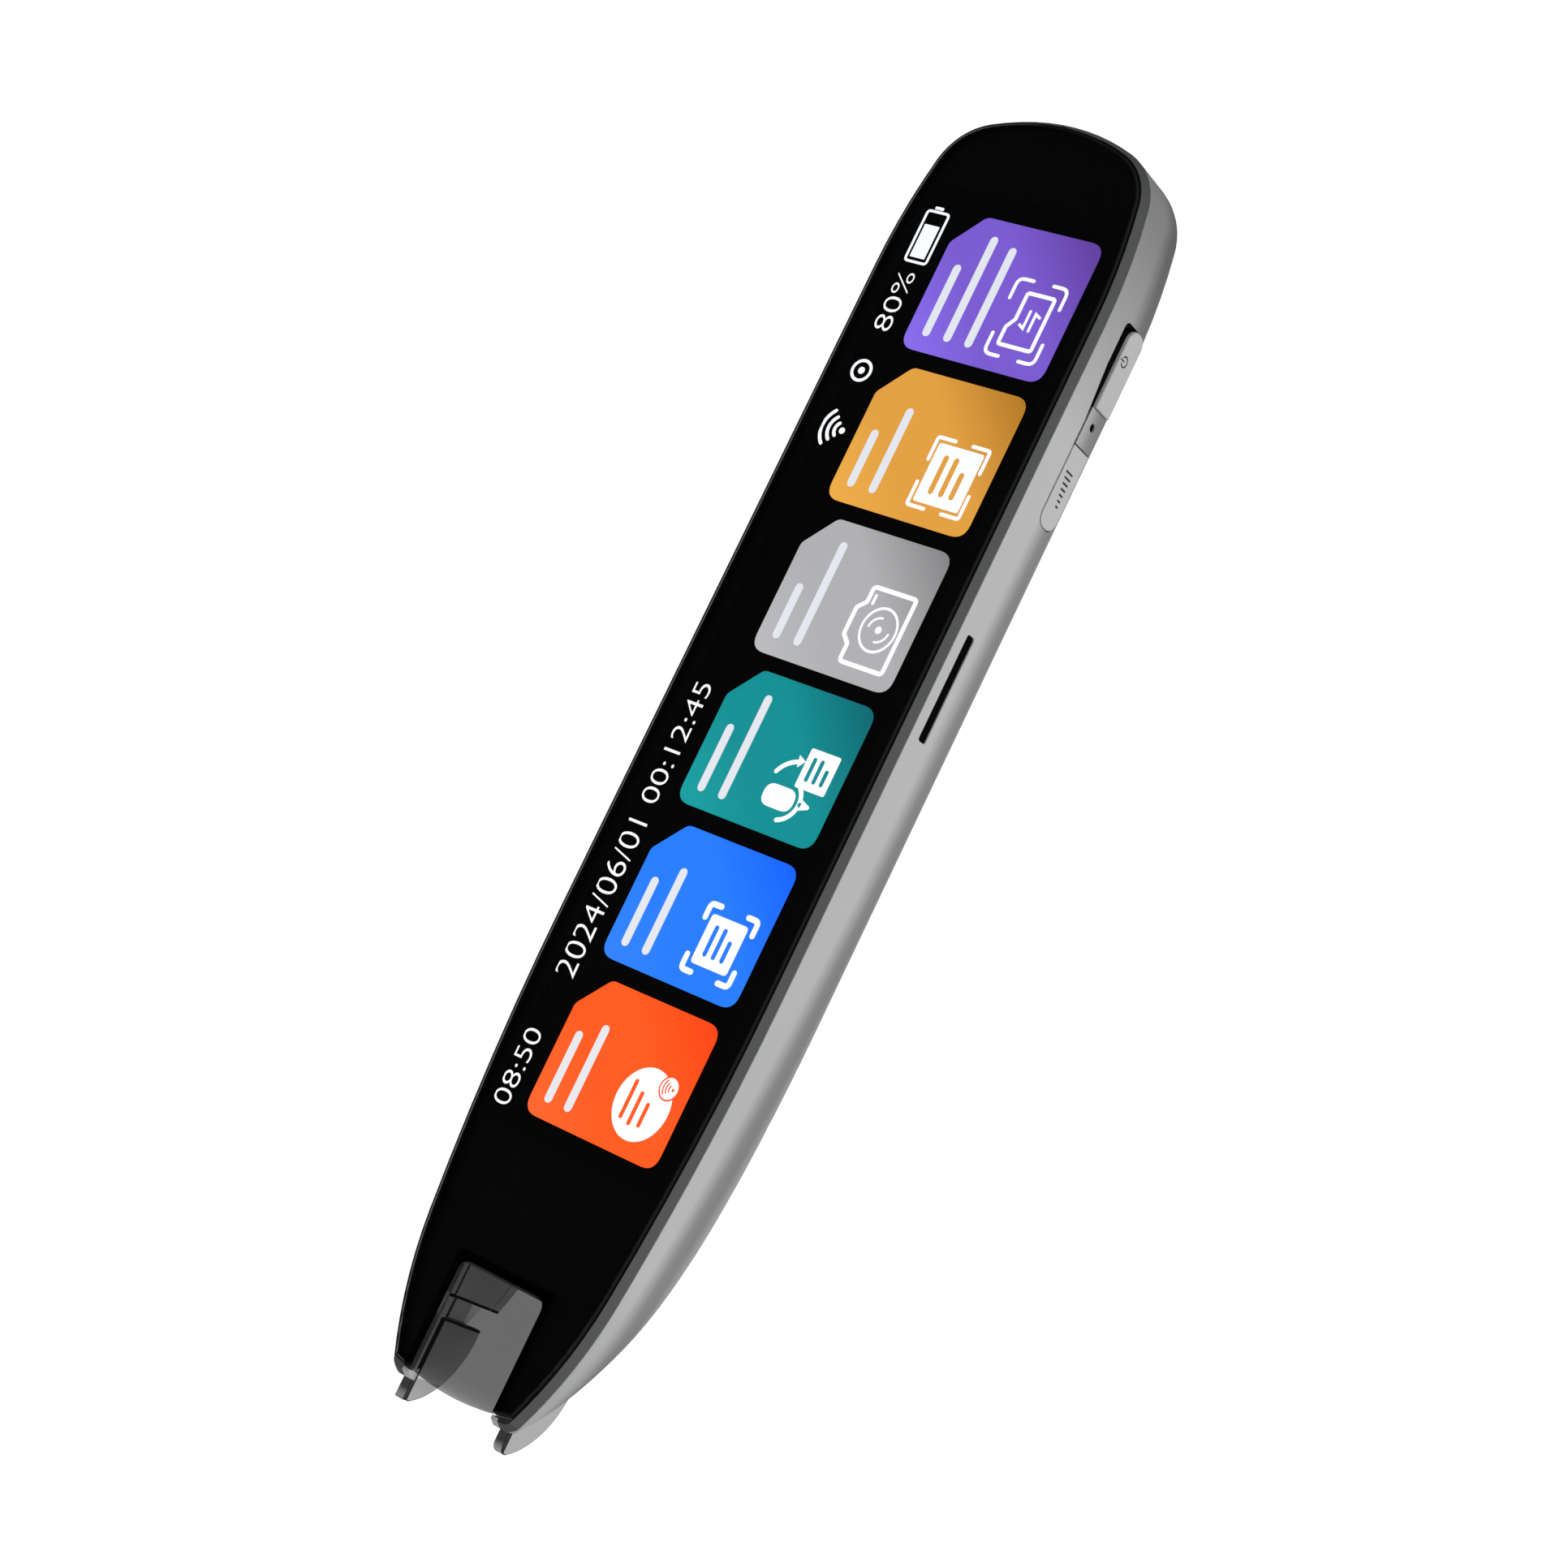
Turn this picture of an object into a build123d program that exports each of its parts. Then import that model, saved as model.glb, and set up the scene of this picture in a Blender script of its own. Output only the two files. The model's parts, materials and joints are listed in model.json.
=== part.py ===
"""Handheld scanning translator: a pen-shaped body with a full-face display.

Millimetres, +Z out of the screen. The body lies on its back: z = 0 is the flat of the back.
+X runs from the scanning nose to the top end, -Y is the side with the keys and the card slot.
Along the body, places are given as a distance s from the nose end of the housing.
Across the thickness, places are given as a depth below the outer face of the glass.
"""
import os
from math import cos, radians, sin, sqrt

from build123d import *

os.makedirs("parts", exist_ok=True)

# ---------------------------------------------------------------- body
body_length = 143.5
body_width = 29.2
body_depth = 13.7
wall = 1.2
back_roll = 6.5              # radius between the side wall and the back
nose_taper = 49.1            # length over which the plan narrows
nose_cheek = 0.63            # housing left beside a fin at the very nose end
nose_bend = 6.6              # degrees turned by the gentle first arc of the taper
nose_turn = 26.4             # degrees turned by both arcs
nose_sweep = 5               # how sharply the back sweeps up to the nose
nose_lip = 2.4               # depth left at the nose end
nose_corner = 2.2
nose_stations = (0.04, 0.1, 0.18, 0.27, 0.36, 0.45, 0.54, 0.63, 0.72, 0.81, 0.9)   # shares of the taper
inner_stations = (6.0, 11.0, 19.0, 30.0)   # where the inner faces of the nose change slope
shoulder_radius = 65.5       # the top end is three arcs a side: shoulder, corner and end
shoulder_turn = 11.4
corner_radius = 7.4
corner_turn = 58.3

# ---------------------------------------------------------------- front
rim_split = 1.35             # depth where the front frame meets the housing
rim_drop = 0.25              # the glass stands this much above the rim
rim_bevel = 0.55
rim_land = 0.1               # flat left on top of the rim
rim_groove = 0.15            # shadow line between frame and housing
glass_gap = 0.1
glass_thickness = 0.8
glass_edge = 0.35
glass_crown = 1.1            # the nose end of the glass is bowed by this much
glass_lip = 0.3              # and its middle stands this far past the line of the frame's rim
glue = 0.05
ledge_width = 1.8
frame_floor = 1.75
skirt_depth = 2.6

# ---------------------------------------------------------------- scanning nose
channel_half = 5.63
channel_end = 12.6           # end wall of the channel, under the glass
channel_lean = 0.3
ledge_depth = 9.4            # edge of the end wall, where the camera bay opens
bay_end = 17.7
bay_depth = 7.4
liner_start = 3.0
liner_end = 19.4
liner_side = 0.87
liner_gap = 0.15
fin_thickness = 1.4
fin_set = 0.27               # a fin stands this far behind the channel wall
fin_reach = 2.2
fin_back = 6.8
fin_top = 1.95
fin_heel = 8.75
fin_belly_place = 0.7
fin_belly = 7.05
fin_tip = 3.0
fin_round = 0.25
trigger_travel = 1.8
fin_gap = 0.15
pocket_gap = 0.4             # left behind a fin when it is pressed home
arm_thickness = 0.65
arm_top = 3.6
arm_height = 2.8
yoke_front = 23.4
yoke_width = 1.5
spring_room = 4.1
spring_strip = 0.2
spring_height = 2.4
spring_place = 4.9
spring_half = 2.2
tab_thickness = 0.8
tab_half = 8.2
tab_depth = 7.2
scan_depth = 9.4
scan_barrel = 1.4
scan_lens_reach = 0.4
scan_block_half = 3.0
scan_block_top = 7.3
scan_block_height = 3.4
scan_block_length = 3.2
led_place = 3.6
led_size = 1.2
scan_window_thickness = 0.5
trigger_switch_half = 1.7
trigger_switch_height = 1.6
plunger_reach = 0.2
plunger_half = 0.5

# ---------------------------------------------------------------- side keys
strip_length = 22.7
strip_to_end = 17.5          # from the strip to the top end
strip_depth = 7.25
strip_height = 3.8
strip_corner = 1.5
key_gap = 0.12
rocker_shadow = 0.37         # wider gap on the glass side of the rocker and the bridge
power_shadow = 0.65          # and of the power key, where a finger finds it by its relief
relief_rise = 0.7            # the relief in the housing, above the strip
relief_depth = 0.7
relief_run = 11.0            # from its thin end to the end of the strip
relief_flat = 5.0
relief_corner = 0.8
key_proud = 0.3
key_travel = 0.35
power_length = 9.2
rocker_length = 8.9
rocker_tilt = 2.0
key_flange = 0.3
flange_gap = 0.2             # between a key's flange and the inside of the wall
flange_overlap = 0.5
key_crown = 0.25
mic_to_strip_end = 11.1
mic_bore = 0.45
pivot_radius = 0.4
pivot_inset = 1.6
ear_half = 0.9
ear_thickness = 0.6
switch_gap = 0.05
switch_body = 0.75
switch_button = 0.15
switch_half = 1.5
key_board_thickness = 0.6

# ---------------------------------------------------------------- card slot, rear camera, speaker, port
card_start = 77.9
card_width = 11.8
card_depth = 3.75
card_slot = 1.5
card_shell = 1.9
card_reach = 14.2
camera_to_end = 34.4
camera_window_radius = 5.4
camera_window_thickness = 0.8
camera_block = 8.5
camera_block_bottom = 3.2
barrel_radius = 2.6
funnel_radius = 2.1
funnel_depth = 0.4
lens_radius = 1.5
lens_depth = 0.5
lens_dome = 0.37
speaker_to_end = 20.65
speaker_to_roll = 0.35       # from the speaker to where the back starts to roll
speaker_thickness = 3.2
grille_to_roll = 0.18        # from the outermost dimples of the grille to the same line
grille_hole = 0.41
grille_slot = 0.63
port_width = 8.94
port_height = 3.26
port_length = 7.0
port_skin = 0.25

# ---------------------------------------------------------------- inside
display_start = 26.0
display_to_end = 9.1
display_to_side = 2.7
panel_thickness = 1.0
backlight_thickness = 0.8
chassis_depth = 2.75
chassis_thickness = 0.5
chassis_start = 19.8
chassis_to_end = 4.1
chassis_inset = 1.6
battery_start = 36.0
battery_to_board = 1.6
battery_to_side = 5.8
battery_thickness = 5.0
board_length = 39.9
board_to_end = 3.0
board_to_key_board = 0.4
board_tail = 6.5             # narrow tail that carries the port
board_tail_half = 6.0
board_top = 4.4
board_thickness = 0.8
screw_nose = 21.6
screw_nose_to_side = 3.9
screw_to_end = 6.6
screw_end_half = 8.2
screw_head = 1.1
screw_head_height = 0.6
screw_shank = 0.65
screw_length = 4.0
boss_radius = 1.7
pad_thickness = 0.1
shield_margin = 3.4
shield_length = 24.0
shield_to_edge = 2.6
shield_sheet = 0.2
flex_reach = 1.2             # how far the display's flex stands out before it folds
flex_half = 5.0
flex_thickness = 0.15
flex_landing = 4.5
antenna_length = 16.0
antenna_top = 3.6
antenna_bottom = 7.0
antenna_thickness = 0.2
fit = 0.05

# ---------------------------------------------------------------- worked out
overall = body_length + fin_reach
nose_x = fin_reach - overall / 2
end_x = nose_x + body_length
half = body_width / 2
inner_half = half - wall
glass_inset = rim_bevel + rim_land + glass_gap
fin_inner = channel_half + fin_set
fin_outer = fin_inner + fin_thickness
pocket_outer = fin_outer + fin_gap
pocket_end = fin_back + trigger_travel + pocket_gap
yoke_back = yoke_front + yoke_width
tab_start = yoke_back + spring_room
strip_end = body_length - strip_to_end
strip_start = strip_end - strip_length
rocker_start = strip_start + key_gap
rocker_end = rocker_start + rocker_length
rocker_middle = (rocker_start + rocker_end) / 2
power_start = strip_end - key_gap - power_length
mic_place = strip_end - mic_to_strip_end
camera_place = body_length - camera_to_end
speaker_place = body_length - speaker_to_end
speaker_radius = half - back_roll - speaker_to_roll
grille_radius = half - back_roll - grille_to_roll
strip_top = strip_depth - strip_height / 2
display_length = body_length - display_to_end - display_start
display_half = half - display_to_side
flex_place = display_start + display_length + flex_reach
chassis_end = body_length - chassis_to_end
chassis_under = chassis_depth + chassis_thickness
board_end = body_length - board_to_end
board_start = board_end - board_length
board_tail_start = board_end - board_tail
port_middle = board_top + board_thickness + fit + port_height / 2
battery_length = board_start - battery_to_board - battery_start
battery_half = half - battery_to_side
battery_bed = wall + 2 * fit
flange_outer = inner_half - flange_gap
key_inner = flange_outer - key_flange
button_face = key_inner - key_travel - switch_gap
switch_foot = button_face - switch_button - switch_body
board_half = switch_foot - key_board_thickness - board_to_key_board
shield_start = board_start + shield_margin
shield_half = board_half - shield_to_edge
screw_places = (
    (nose_x + screw_nose, half - screw_nose_to_side),
    (nose_x + screw_nose, screw_nose_to_side - half),
    (end_x - screw_to_end, screw_end_half),
    (end_x - screw_to_end, -screw_end_half),
)
sides = (1, -1)

# the two arcs of the taper, from their turns, its length and the width that it loses
nose_loss = half - pocket_outer - nose_cheek
bend_sine = sin(radians(nose_bend))
bend_cosine = cos(radians(nose_bend))
turn_sine = sin(radians(nose_turn)) - bend_sine
turn_cosine = bend_cosine - cos(radians(nose_turn))
arc_share = bend_sine * turn_cosine - (1 - bend_cosine) * turn_sine
bend_radius = (nose_taper * turn_cosine - nose_loss * turn_sine) / arc_share
nose_radius = (bend_sine * nose_loss - (1 - bend_cosine) * nose_taper) / arc_share


def along(s):
    """X of a place s from the nose end of the housing."""
    return nose_x + s


def level(depth):
    """Z of a place this deep below the face of the glass."""
    return body_depth - depth


def arc_joint(inset):
    """Place s where the two arcs of the taper meet."""
    return nose_taper - (bend_radius - inset) * bend_sine


def half_width(s, inset=0.0):
    """Half-width of the plan, moved inwards by inset: two arcs into the straight sides."""
    if s >= nose_taper:
        return half - inset
    if s >= arc_joint(inset):
        return half - bend_radius + sqrt((bend_radius - inset) ** 2 - (nose_taper - s) ** 2)
    centre = nose_taper - (bend_radius - nose_radius) * bend_sine
    depth = half - bend_radius + (bend_radius - nose_radius) * bend_cosine
    return depth + sqrt((nose_radius - inset) ** 2 - (centre - s) ** 2)


def depth_at(s):
    """Depth of the body: it sweeps from the nose lip to the full depth."""
    if s >= nose_taper:
        return body_depth
    return body_depth - (body_depth - nose_lip) * (1 - s / nose_taper) ** nose_sweep


def roll_at(s):
    """Radius between side and back, which shrinks with the depth of the nose."""
    return min(back_roll, 0.62 * depth_at(s))


def edge_arc(start, end, inset, turn):
    """One arc of the taper, between two places."""
    places = (start, (start + end) / 2, end)
    return ThreePointArc(*[(along(s), turn * half_width(s, inset)) for s in places])


def end_arcs(inset, turn):
    """Half of the rounded top end, from the straight side to the middle line."""
    corner_end = shoulder_turn + corner_turn
    corner = corner_radius - inset
    shoulder = shoulder_radius - inset
    drop = shoulder * (1 - cos(radians(shoulder_turn)))
    drop += corner * (cos(radians(shoulder_turn)) - cos(radians(corner_end)))
    last = (half - inset - drop) / cos(radians(corner_end))
    run = shoulder * sin(radians(shoulder_turn)) + last * (1 - sin(radians(corner_end)))
    run += corner * (sin(radians(corner_end)) - sin(radians(shoulder_turn)))
    side = turn * (half - inset)
    start = end_x - inset - run
    Line((along(nose_taper), side), (start, side))
    arc = JernArc((start, side), (1, 0), shoulder, -turn * shoulder_turn)
    arc = JernArc(arc @ 1, arc % 1, corner, -turn * corner_turn)
    JernArc(arc @ 1, arc % 1, last, -turn * (90 - corner_end))


def plan_face(inset, crown=0.0):
    """The body's outline seen from the front, moved inwards by inset, with a bowed nose end."""
    start = inset + crown - glass_lip if crown else inset
    tip = half_width(start, inset)
    with BuildSketch(mode=Mode.PRIVATE) as outline:
        with BuildLine():
            if crown:
                ThreePointArc((along(start), tip), (along(start - crown), 0), (along(start), -tip))
            else:
                Line((along(start), tip), (along(start), -tip))
            for turn in sides:
                edge_arc(start, arc_joint(inset), inset, turn)
                edge_arc(arc_joint(inset), nose_taper, inset, turn)
                end_arcs(inset, turn)
        make_face()
        add(nose_corners(inset), mode=Mode.SUBTRACT)
    return outline.sketch


def nose_corners(inset):
    """What is taken off the two corners of the nose end."""
    radius = nose_corner - inset / 2
    foot = half_width(inset, inset) - radius
    shoulder = half_width(inset + radius, inset)
    with BuildSketch(mode=Mode.PRIVATE) as corners:
        for turn in sides:
            with BuildLine():
                RadiusArc(
                    (along(inset), turn * foot),
                    (along(inset + radius), turn * shoulder),
                    turn * radius * 1.15,
                )
                Polyline(
                    (along(inset + radius), turn * shoulder),
                    (along(inset + radius), turn * (shoulder + 2)),
                    (along(inset - 1), turn * (shoulder + 2)),
                    (along(inset - 1), turn * foot),
                    (along(inset), turn * foot),
                )
            make_face()
    return corners.sketch


def section_face(s, inset):
    """Cross-section of the body at s: straight sides that roll into a flat back."""
    side = half_width(s, inset)
    low = level(depth_at(s)) + inset
    roll = roll_at(s) - inset
    lift = roll * (1 - cos(radians(45)))
    with BuildSketch(Plane.YZ.offset(along(s)), mode=Mode.PRIVATE) as section:
        with BuildLine():
            Line((-side, body_depth), (side, body_depth))
            for turn in sides:
                Line((turn * side, body_depth), (turn * side, low + roll))
                ThreePointArc(
                    (turn * side, low + roll),
                    (turn * (side - lift), low + lift),
                    (turn * (side - roll), low),
                )
            Line((-side + roll, low), (side - roll, low))
        make_face()
    return section.sketch


def body_block(inset):
    """The body behind the taper, with its rolled back edge."""
    with BuildPart(mode=Mode.PRIVATE) as body:
        with BuildSketch(Plane.XY.offset(inset)):
            add(plan_face(inset))
        extrude(amount=body_depth - inset)
        split(bisect_by=Plane.YZ.offset(along(nose_taper)), keep=Keep.TOP)
        back = body.faces().sort_by(Axis.Z)[0]
        fillet(back.edges().sort_by(Axis.X)[1:], back_roll - inset)
    return body.part


def envelope():
    """The body's outer form, left open-ended at the glass."""
    stations = [0] + [share * nose_taper for share in nose_stations] + [nose_taper]
    with BuildPart(mode=Mode.PRIVATE) as nose:
        loft([section_face(s, 0) for s in stations])
        with BuildSketch(Plane.XY):
            add(nose_corners(0))
        extrude(amount=body_depth, mode=Mode.SUBTRACT)
    return body_block(0) + nose.part


def nose_room(inset, start, end):
    """The inside of the nose between two places, with straight faces from station to station."""
    stations = [start] + [s for s in inner_stations if start < s < end] + [end]
    with BuildPart(mode=Mode.PRIVATE) as room:
        loft([section_face(s, inset) for s in stations], ruled=True)
    return room.part


def block(start, end, low, high, shallow, deep):
    """A box from s = start to end, y = low to high, between two depths."""
    with BuildPart(Plane.XY.offset(level(deep)), mode=Mode.PRIVATE) as solid:
        with Locations((along((start + end) / 2), (low + high) / 2)):
            Box(end - start, high - low, deep - shallow, align=(Align.CENTER, Align.CENTER, Align.MIN))
    return solid.part


def slab(inset, shallow, deep, crown=0.0):
    """The body's outline as a plate between two depths."""
    with BuildPart(mode=Mode.PRIVATE) as plate:
        with BuildSketch(Plane.XY.offset(level(deep))):
            add(plan_face(inset, crown))
        extrude(amount=deep - shallow)
    return plate.part


def channel(half_gap):
    """The see-through channel of the nose, with the bay that its camera looks out of."""
    lean_end = channel_end + channel_lean
    with BuildPart(mode=Mode.PRIVATE) as opening:
        with BuildSketch(Plane.XZ):
            with BuildLine():
                Polyline(
                    (along(-2), level(-1)),
                    (along(channel_end), level(-1)),
                    (along(channel_end), level(frame_floor)),
                    (along(lean_end), level(ledge_depth)),
                    (along(bay_end), level(bay_depth)),
                    (along(bay_end), -1),
                    (along(-2), -1),
                    close=True,
                )
            make_face()
        extrude(amount=half_gap, both=True)
    return opening.part


def fin_pockets():
    """Room for the two fins, from the channel outwards."""
    with BuildPart(mode=Mode.PRIVATE) as pockets:
        for turn in sides:
            inner, outer = sorted((turn * (channel_half - fin_gap), turn * pocket_outer))
            add(block(-2, pocket_end, inner, outer, frame_floor, body_depth + 1))
    return pockets.part


def strip_segment(start, end, gap, shadow):
    """Part of the long key strip, seen from the side, with a wider gap on the glass side."""
    with BuildSketch(Plane.XZ, mode=Mode.PRIVATE) as segment:
        with Locations((along((strip_start + strip_end) / 2), level(strip_depth + (shadow - gap) / 2))):
            RectangleRounded(strip_length - 2 * gap, strip_height - gap - shadow, strip_corner - gap)
        with Locations((along((start + end) / 2), level(strip_depth))):
            Rectangle(end - start, strip_height, mode=Mode.INTERSECT)
    return segment.sketch


# ================================================================ rear housing
with BuildPart() as cavity:
    add(body_block(wall))
    add(nose_room(wall, liner_start - liner_gap, nose_taper))
    # rebate for the skirt of the front frame
    add(slab(wall, 0, skirt_depth + fit))
    nose_solid = block(0, liner_start - liner_gap, -half, half, frame_floor + fit, body_depth)
    add(nose_solid, mode=Mode.SUBTRACT)
    with BuildSketch():
        with Locations(*screw_places):
            Circle(boss_radius)
    extrude(amount=level(chassis_under), mode=Mode.SUBTRACT)

with BuildPart() as rear_housing:
    add(envelope())
    add(cavity.part, mode=Mode.SUBTRACT)
    split(bisect_by=Plane.XY.offset(level(rim_split)), keep=Keep.BOTTOM)
    # ears for the rocker's pin, above and below its slot
    for ear in (strip_top - ear_thickness, strip_top + strip_height):
        add(
            block(
                rocker_middle - ear_half,
                rocker_middle + ear_half,
                -inner_half - wall / 2,
                -half + pivot_inset + ear_half,
                ear,
                ear + ear_thickness,
            )
        )
    # nose
    add(channel(channel_half), mode=Mode.SUBTRACT)
    add(fin_pockets(), mode=Mode.SUBTRACT)
    # key strip and card slot in the side wall
    with BuildSketch(Plane.XZ.offset(inner_half - wall / 2)):
        with Locations((along((strip_start + strip_end) / 2), level(strip_depth))):
            RectangleRounded(strip_length, strip_height, strip_corner)
        with Locations((along(card_start + card_width / 2), level(card_depth))):
            RectangleRounded(card_width, card_slot, card_slot / 4)
    extrude(amount=2 * wall, mode=Mode.SUBTRACT)
    # relief beside the power key
    with BuildSketch(Plane.XZ.offset(half - relief_depth)) as relief:
        with BuildLine():
            Polyline(
                (along(strip_end - relief_run), level(strip_depth)),
                (along(strip_end - relief_run), level(strip_top)),
                (along(strip_end - relief_flat), level(strip_top - relief_rise)),
                (along(strip_end), level(strip_top - relief_rise)),
                (along(strip_end), level(strip_depth)),
                close=True,
            )
        make_face()
        fillet(relief.vertices().sort_by(Axis.X)[-2:].sort_by(Axis.Y)[-1], relief_corner)
    extrude(amount=relief_depth + 1, mode=Mode.SUBTRACT)
    # bore for the rocker's pin
    with BuildSketch(Plane.XY.offset(level(strip_depth + strip_height / 2 + ear_thickness))):
        with Locations((along(rocker_middle), -half + pivot_inset)):
            Circle(pivot_radius + fit / 2)
    extrude(amount=strip_height + 2 * ear_thickness, mode=Mode.SUBTRACT)
    # port in the top end
    with BuildSketch(Plane.YZ.offset(end_x + 1)):
        with Locations((0, level(port_middle))):
            RectangleRounded(port_width + 2 * fit, port_height + 2 * fit, port_height / 2)
    extrude(amount=-wall - 3, mode=Mode.SUBTRACT)
    # window and lens opening of the rear camera
    with Locations(Location((along(camera_place), 0, 0), (180, 0, 0))):
        CounterBoreHole(
            barrel_radius + 3 * fit,
            camera_window_radius + fit,
            camera_window_thickness + fit,
            wall + 1,
        )
    # speaker grille
    with BuildSketch():
        with Locations((along(speaker_place), 0)):
            Circle(grille_hole)
            with PolarLocations(0.225 * grille_radius, 6):
                Circle(grille_hole)
            with PolarLocations(0.433 * grille_radius, 6, start_angle=30):
                Circle(grille_hole)
            for lean in (20, 40):
                with PolarLocations(0.632 * grille_radius, 6, start_angle=lean):
                    Circle(grille_hole)
            with PolarLocations(0.533 * grille_radius, 6):
                SlotOverall(0.275 * grille_radius, grille_slot)
    extrude(amount=wall, mode=Mode.SUBTRACT)
    # screw holes in the bosses
    with BuildSketch(Plane.XY.offset(level(chassis_under))):
        with Locations(*screw_places):
            Circle(screw_shank + fit / 2)
    extrude(amount=-screw_length, mode=Mode.SUBTRACT)
rear_housing.part.label = "rear_housing"
export_step(rear_housing.part, "parts/rear_housing.step")

# ================================================================ front frame and glass
with BuildPart() as front_frame:
    add(slab(0, rim_drop, rim_split - rim_groove))
    top_edges = front_frame.faces().sort_by(Axis.Z)[-1].edges()
    chamfer(top_edges, length=rim_split - rim_drop - rim_groove - fit, length2=rim_bevel)
    add(slab(rim_groove, rim_split - rim_groove, rim_split))
    add(slab(wall + fit, rim_split, skirt_depth))
    add(slab(glass_inset - glass_gap, -1, glass_thickness + glue, glass_crown), mode=Mode.SUBTRACT)
    add(slab(glass_inset + ledge_width, 0, body_depth), mode=Mode.SUBTRACT)
    add(
        block(
            display_start - 2 * fit,
            display_start + display_length + 2 * fit,
            -display_half - 2 * fit,
            display_half + 2 * fit,
            0,
            body_depth,
        ),
        mode=Mode.SUBTRACT,
    )
    # floor under the glass, between the channel and the display
    with BuildSketch(Plane.XY.offset(level(frame_floor))):
        add(plan_face(wall + fit))
        with Locations((along(display_start), 0)):
            Rectangle(2 * body_length, body_width, align=(Align.MIN, Align.CENTER), mode=Mode.SUBTRACT)
    extrude(amount=frame_floor - glass_thickness - glue)
    add(block(-1, display_start, -half, half, frame_floor, skirt_depth + 1), mode=Mode.SUBTRACT)
    add(channel(channel_half), mode=Mode.SUBTRACT)
front_frame.part.label = "front_frame"
export_step(front_frame.part, "parts/front_frame.step")

with BuildPart() as front_glass:
    add(slab(glass_inset, 0, glass_thickness, glass_crown))
    fillet(front_glass.faces().sort_by(Axis.Z)[-1].edges(), glass_edge)
front_glass.part.label = "front_glass"
export_step(front_glass.part, "parts/front_glass.step")

# ================================================================ display
with BuildPart() as display_panel:
    with BuildSketch(Plane.XY.offset(level(glass_thickness + glue + panel_thickness))):
        with Locations((along(display_start + display_length / 2), 0)):
            RectangleRounded(display_length, 2 * display_half, 1)
    extrude(amount=panel_thickness)
display_panel.part.label = "display_panel"
export_step(display_panel.part, "parts/display_panel.step")

with BuildPart() as backlight:
    with BuildSketch(Plane.XY.offset(level(glass_thickness + glue + panel_thickness + backlight_thickness))):
        with Locations((along(display_start + display_length / 2), 0)):
            RectangleRounded(display_length, 2 * display_half, 1)
    extrude(amount=backlight_thickness)
backlight.part.label = "backlight"
export_step(backlight.part, "parts/backlight.step")

with BuildPart() as chassis:
    with BuildSketch(Plane.XY.offset(level(chassis_under))):
        add(plan_face(chassis_inset))
        with Locations((along(chassis_start), 0)):
            Rectangle(body_length, body_width, align=(Align.MAX, Align.CENTER), mode=Mode.SUBTRACT)
        with Locations((along(chassis_end), 0)):
            Rectangle(body_length, body_width, align=(Align.MIN, Align.CENTER), mode=Mode.SUBTRACT)
        # window for the card socket
        with Locations((along(card_start + card_width / 2), -half)):
            Rectangle(
                card_width + 4 * fit + 2,
                card_reach + wall + 1,
                align=(Align.CENTER, Align.MIN),
                mode=Mode.SUBTRACT,
            )
        with Locations(*screw_places):
            Circle(screw_shank + fit / 2, mode=Mode.SUBTRACT)
    extrude(amount=chassis_thickness)
    # slot that the display's flex folds through
    flex_slot = block(
        flex_place - flex_thickness - 4 * fit,
        flex_place + 4 * fit,
        -flex_half - 4 * fit,
        flex_half + 4 * fit,
        0,
        body_depth,
    )
    add(flex_slot, mode=Mode.SUBTRACT)
    # tab that the trigger's springs and switch stand on
    add(block(tab_start, tab_start + tab_thickness, -tab_half, tab_half, chassis_under - fit, tab_depth))
chassis.part.label = "chassis"
export_step(chassis.part, "parts/chassis.step")

with BuildPart() as chassis_screws:
    with BuildSketch(Plane.XY.offset(level(chassis_depth))):
        with Locations(*screw_places):
            Circle(screw_head)
    extrude(amount=screw_head_height)
    with BuildSketch(Plane.XY.offset(level(chassis_depth))):
        with Locations(*screw_places):
            Circle(screw_shank)
    extrude(amount=-screw_length)
chassis_screws.part.label = "chassis_screws"
export_step(chassis_screws.part, "parts/chassis_screws.step")

# ================================================================ scanning nose
with BuildPart() as nose_channel:
    add(nose_room(wall + liner_gap, liner_start, liner_end))
    split(bisect_by=Plane.XY.offset(level(frame_floor + fit)), keep=Keep.BOTTOM)
    add(channel(channel_half), mode=Mode.SUBTRACT)
    add(fin_pockets(), mode=Mode.SUBTRACT)
    # slots for the trigger's arms
    for turn in sides:
        inner, outer = sorted((turn * (channel_half + liner_side), turn * pocket_outer))
        arm_slot = block(
            pocket_end - 1, liner_end + 1, inner, outer, arm_top - fin_gap, arm_top + arm_height + fin_gap
        )
        add(arm_slot, mode=Mode.SUBTRACT)
    # bore for the scanning camera
    with BuildSketch(Plane.YZ.offset(along(liner_end))):
        with Locations((0, level(scan_depth))):
            Circle(scan_barrel + fit)
    extrude(amount=bay_end - liner_end - 1, mode=Mode.SUBTRACT)
nose_channel.part.label = "nose_channel"
export_step(nose_channel.part, "parts/nose_channel.step")

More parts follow.
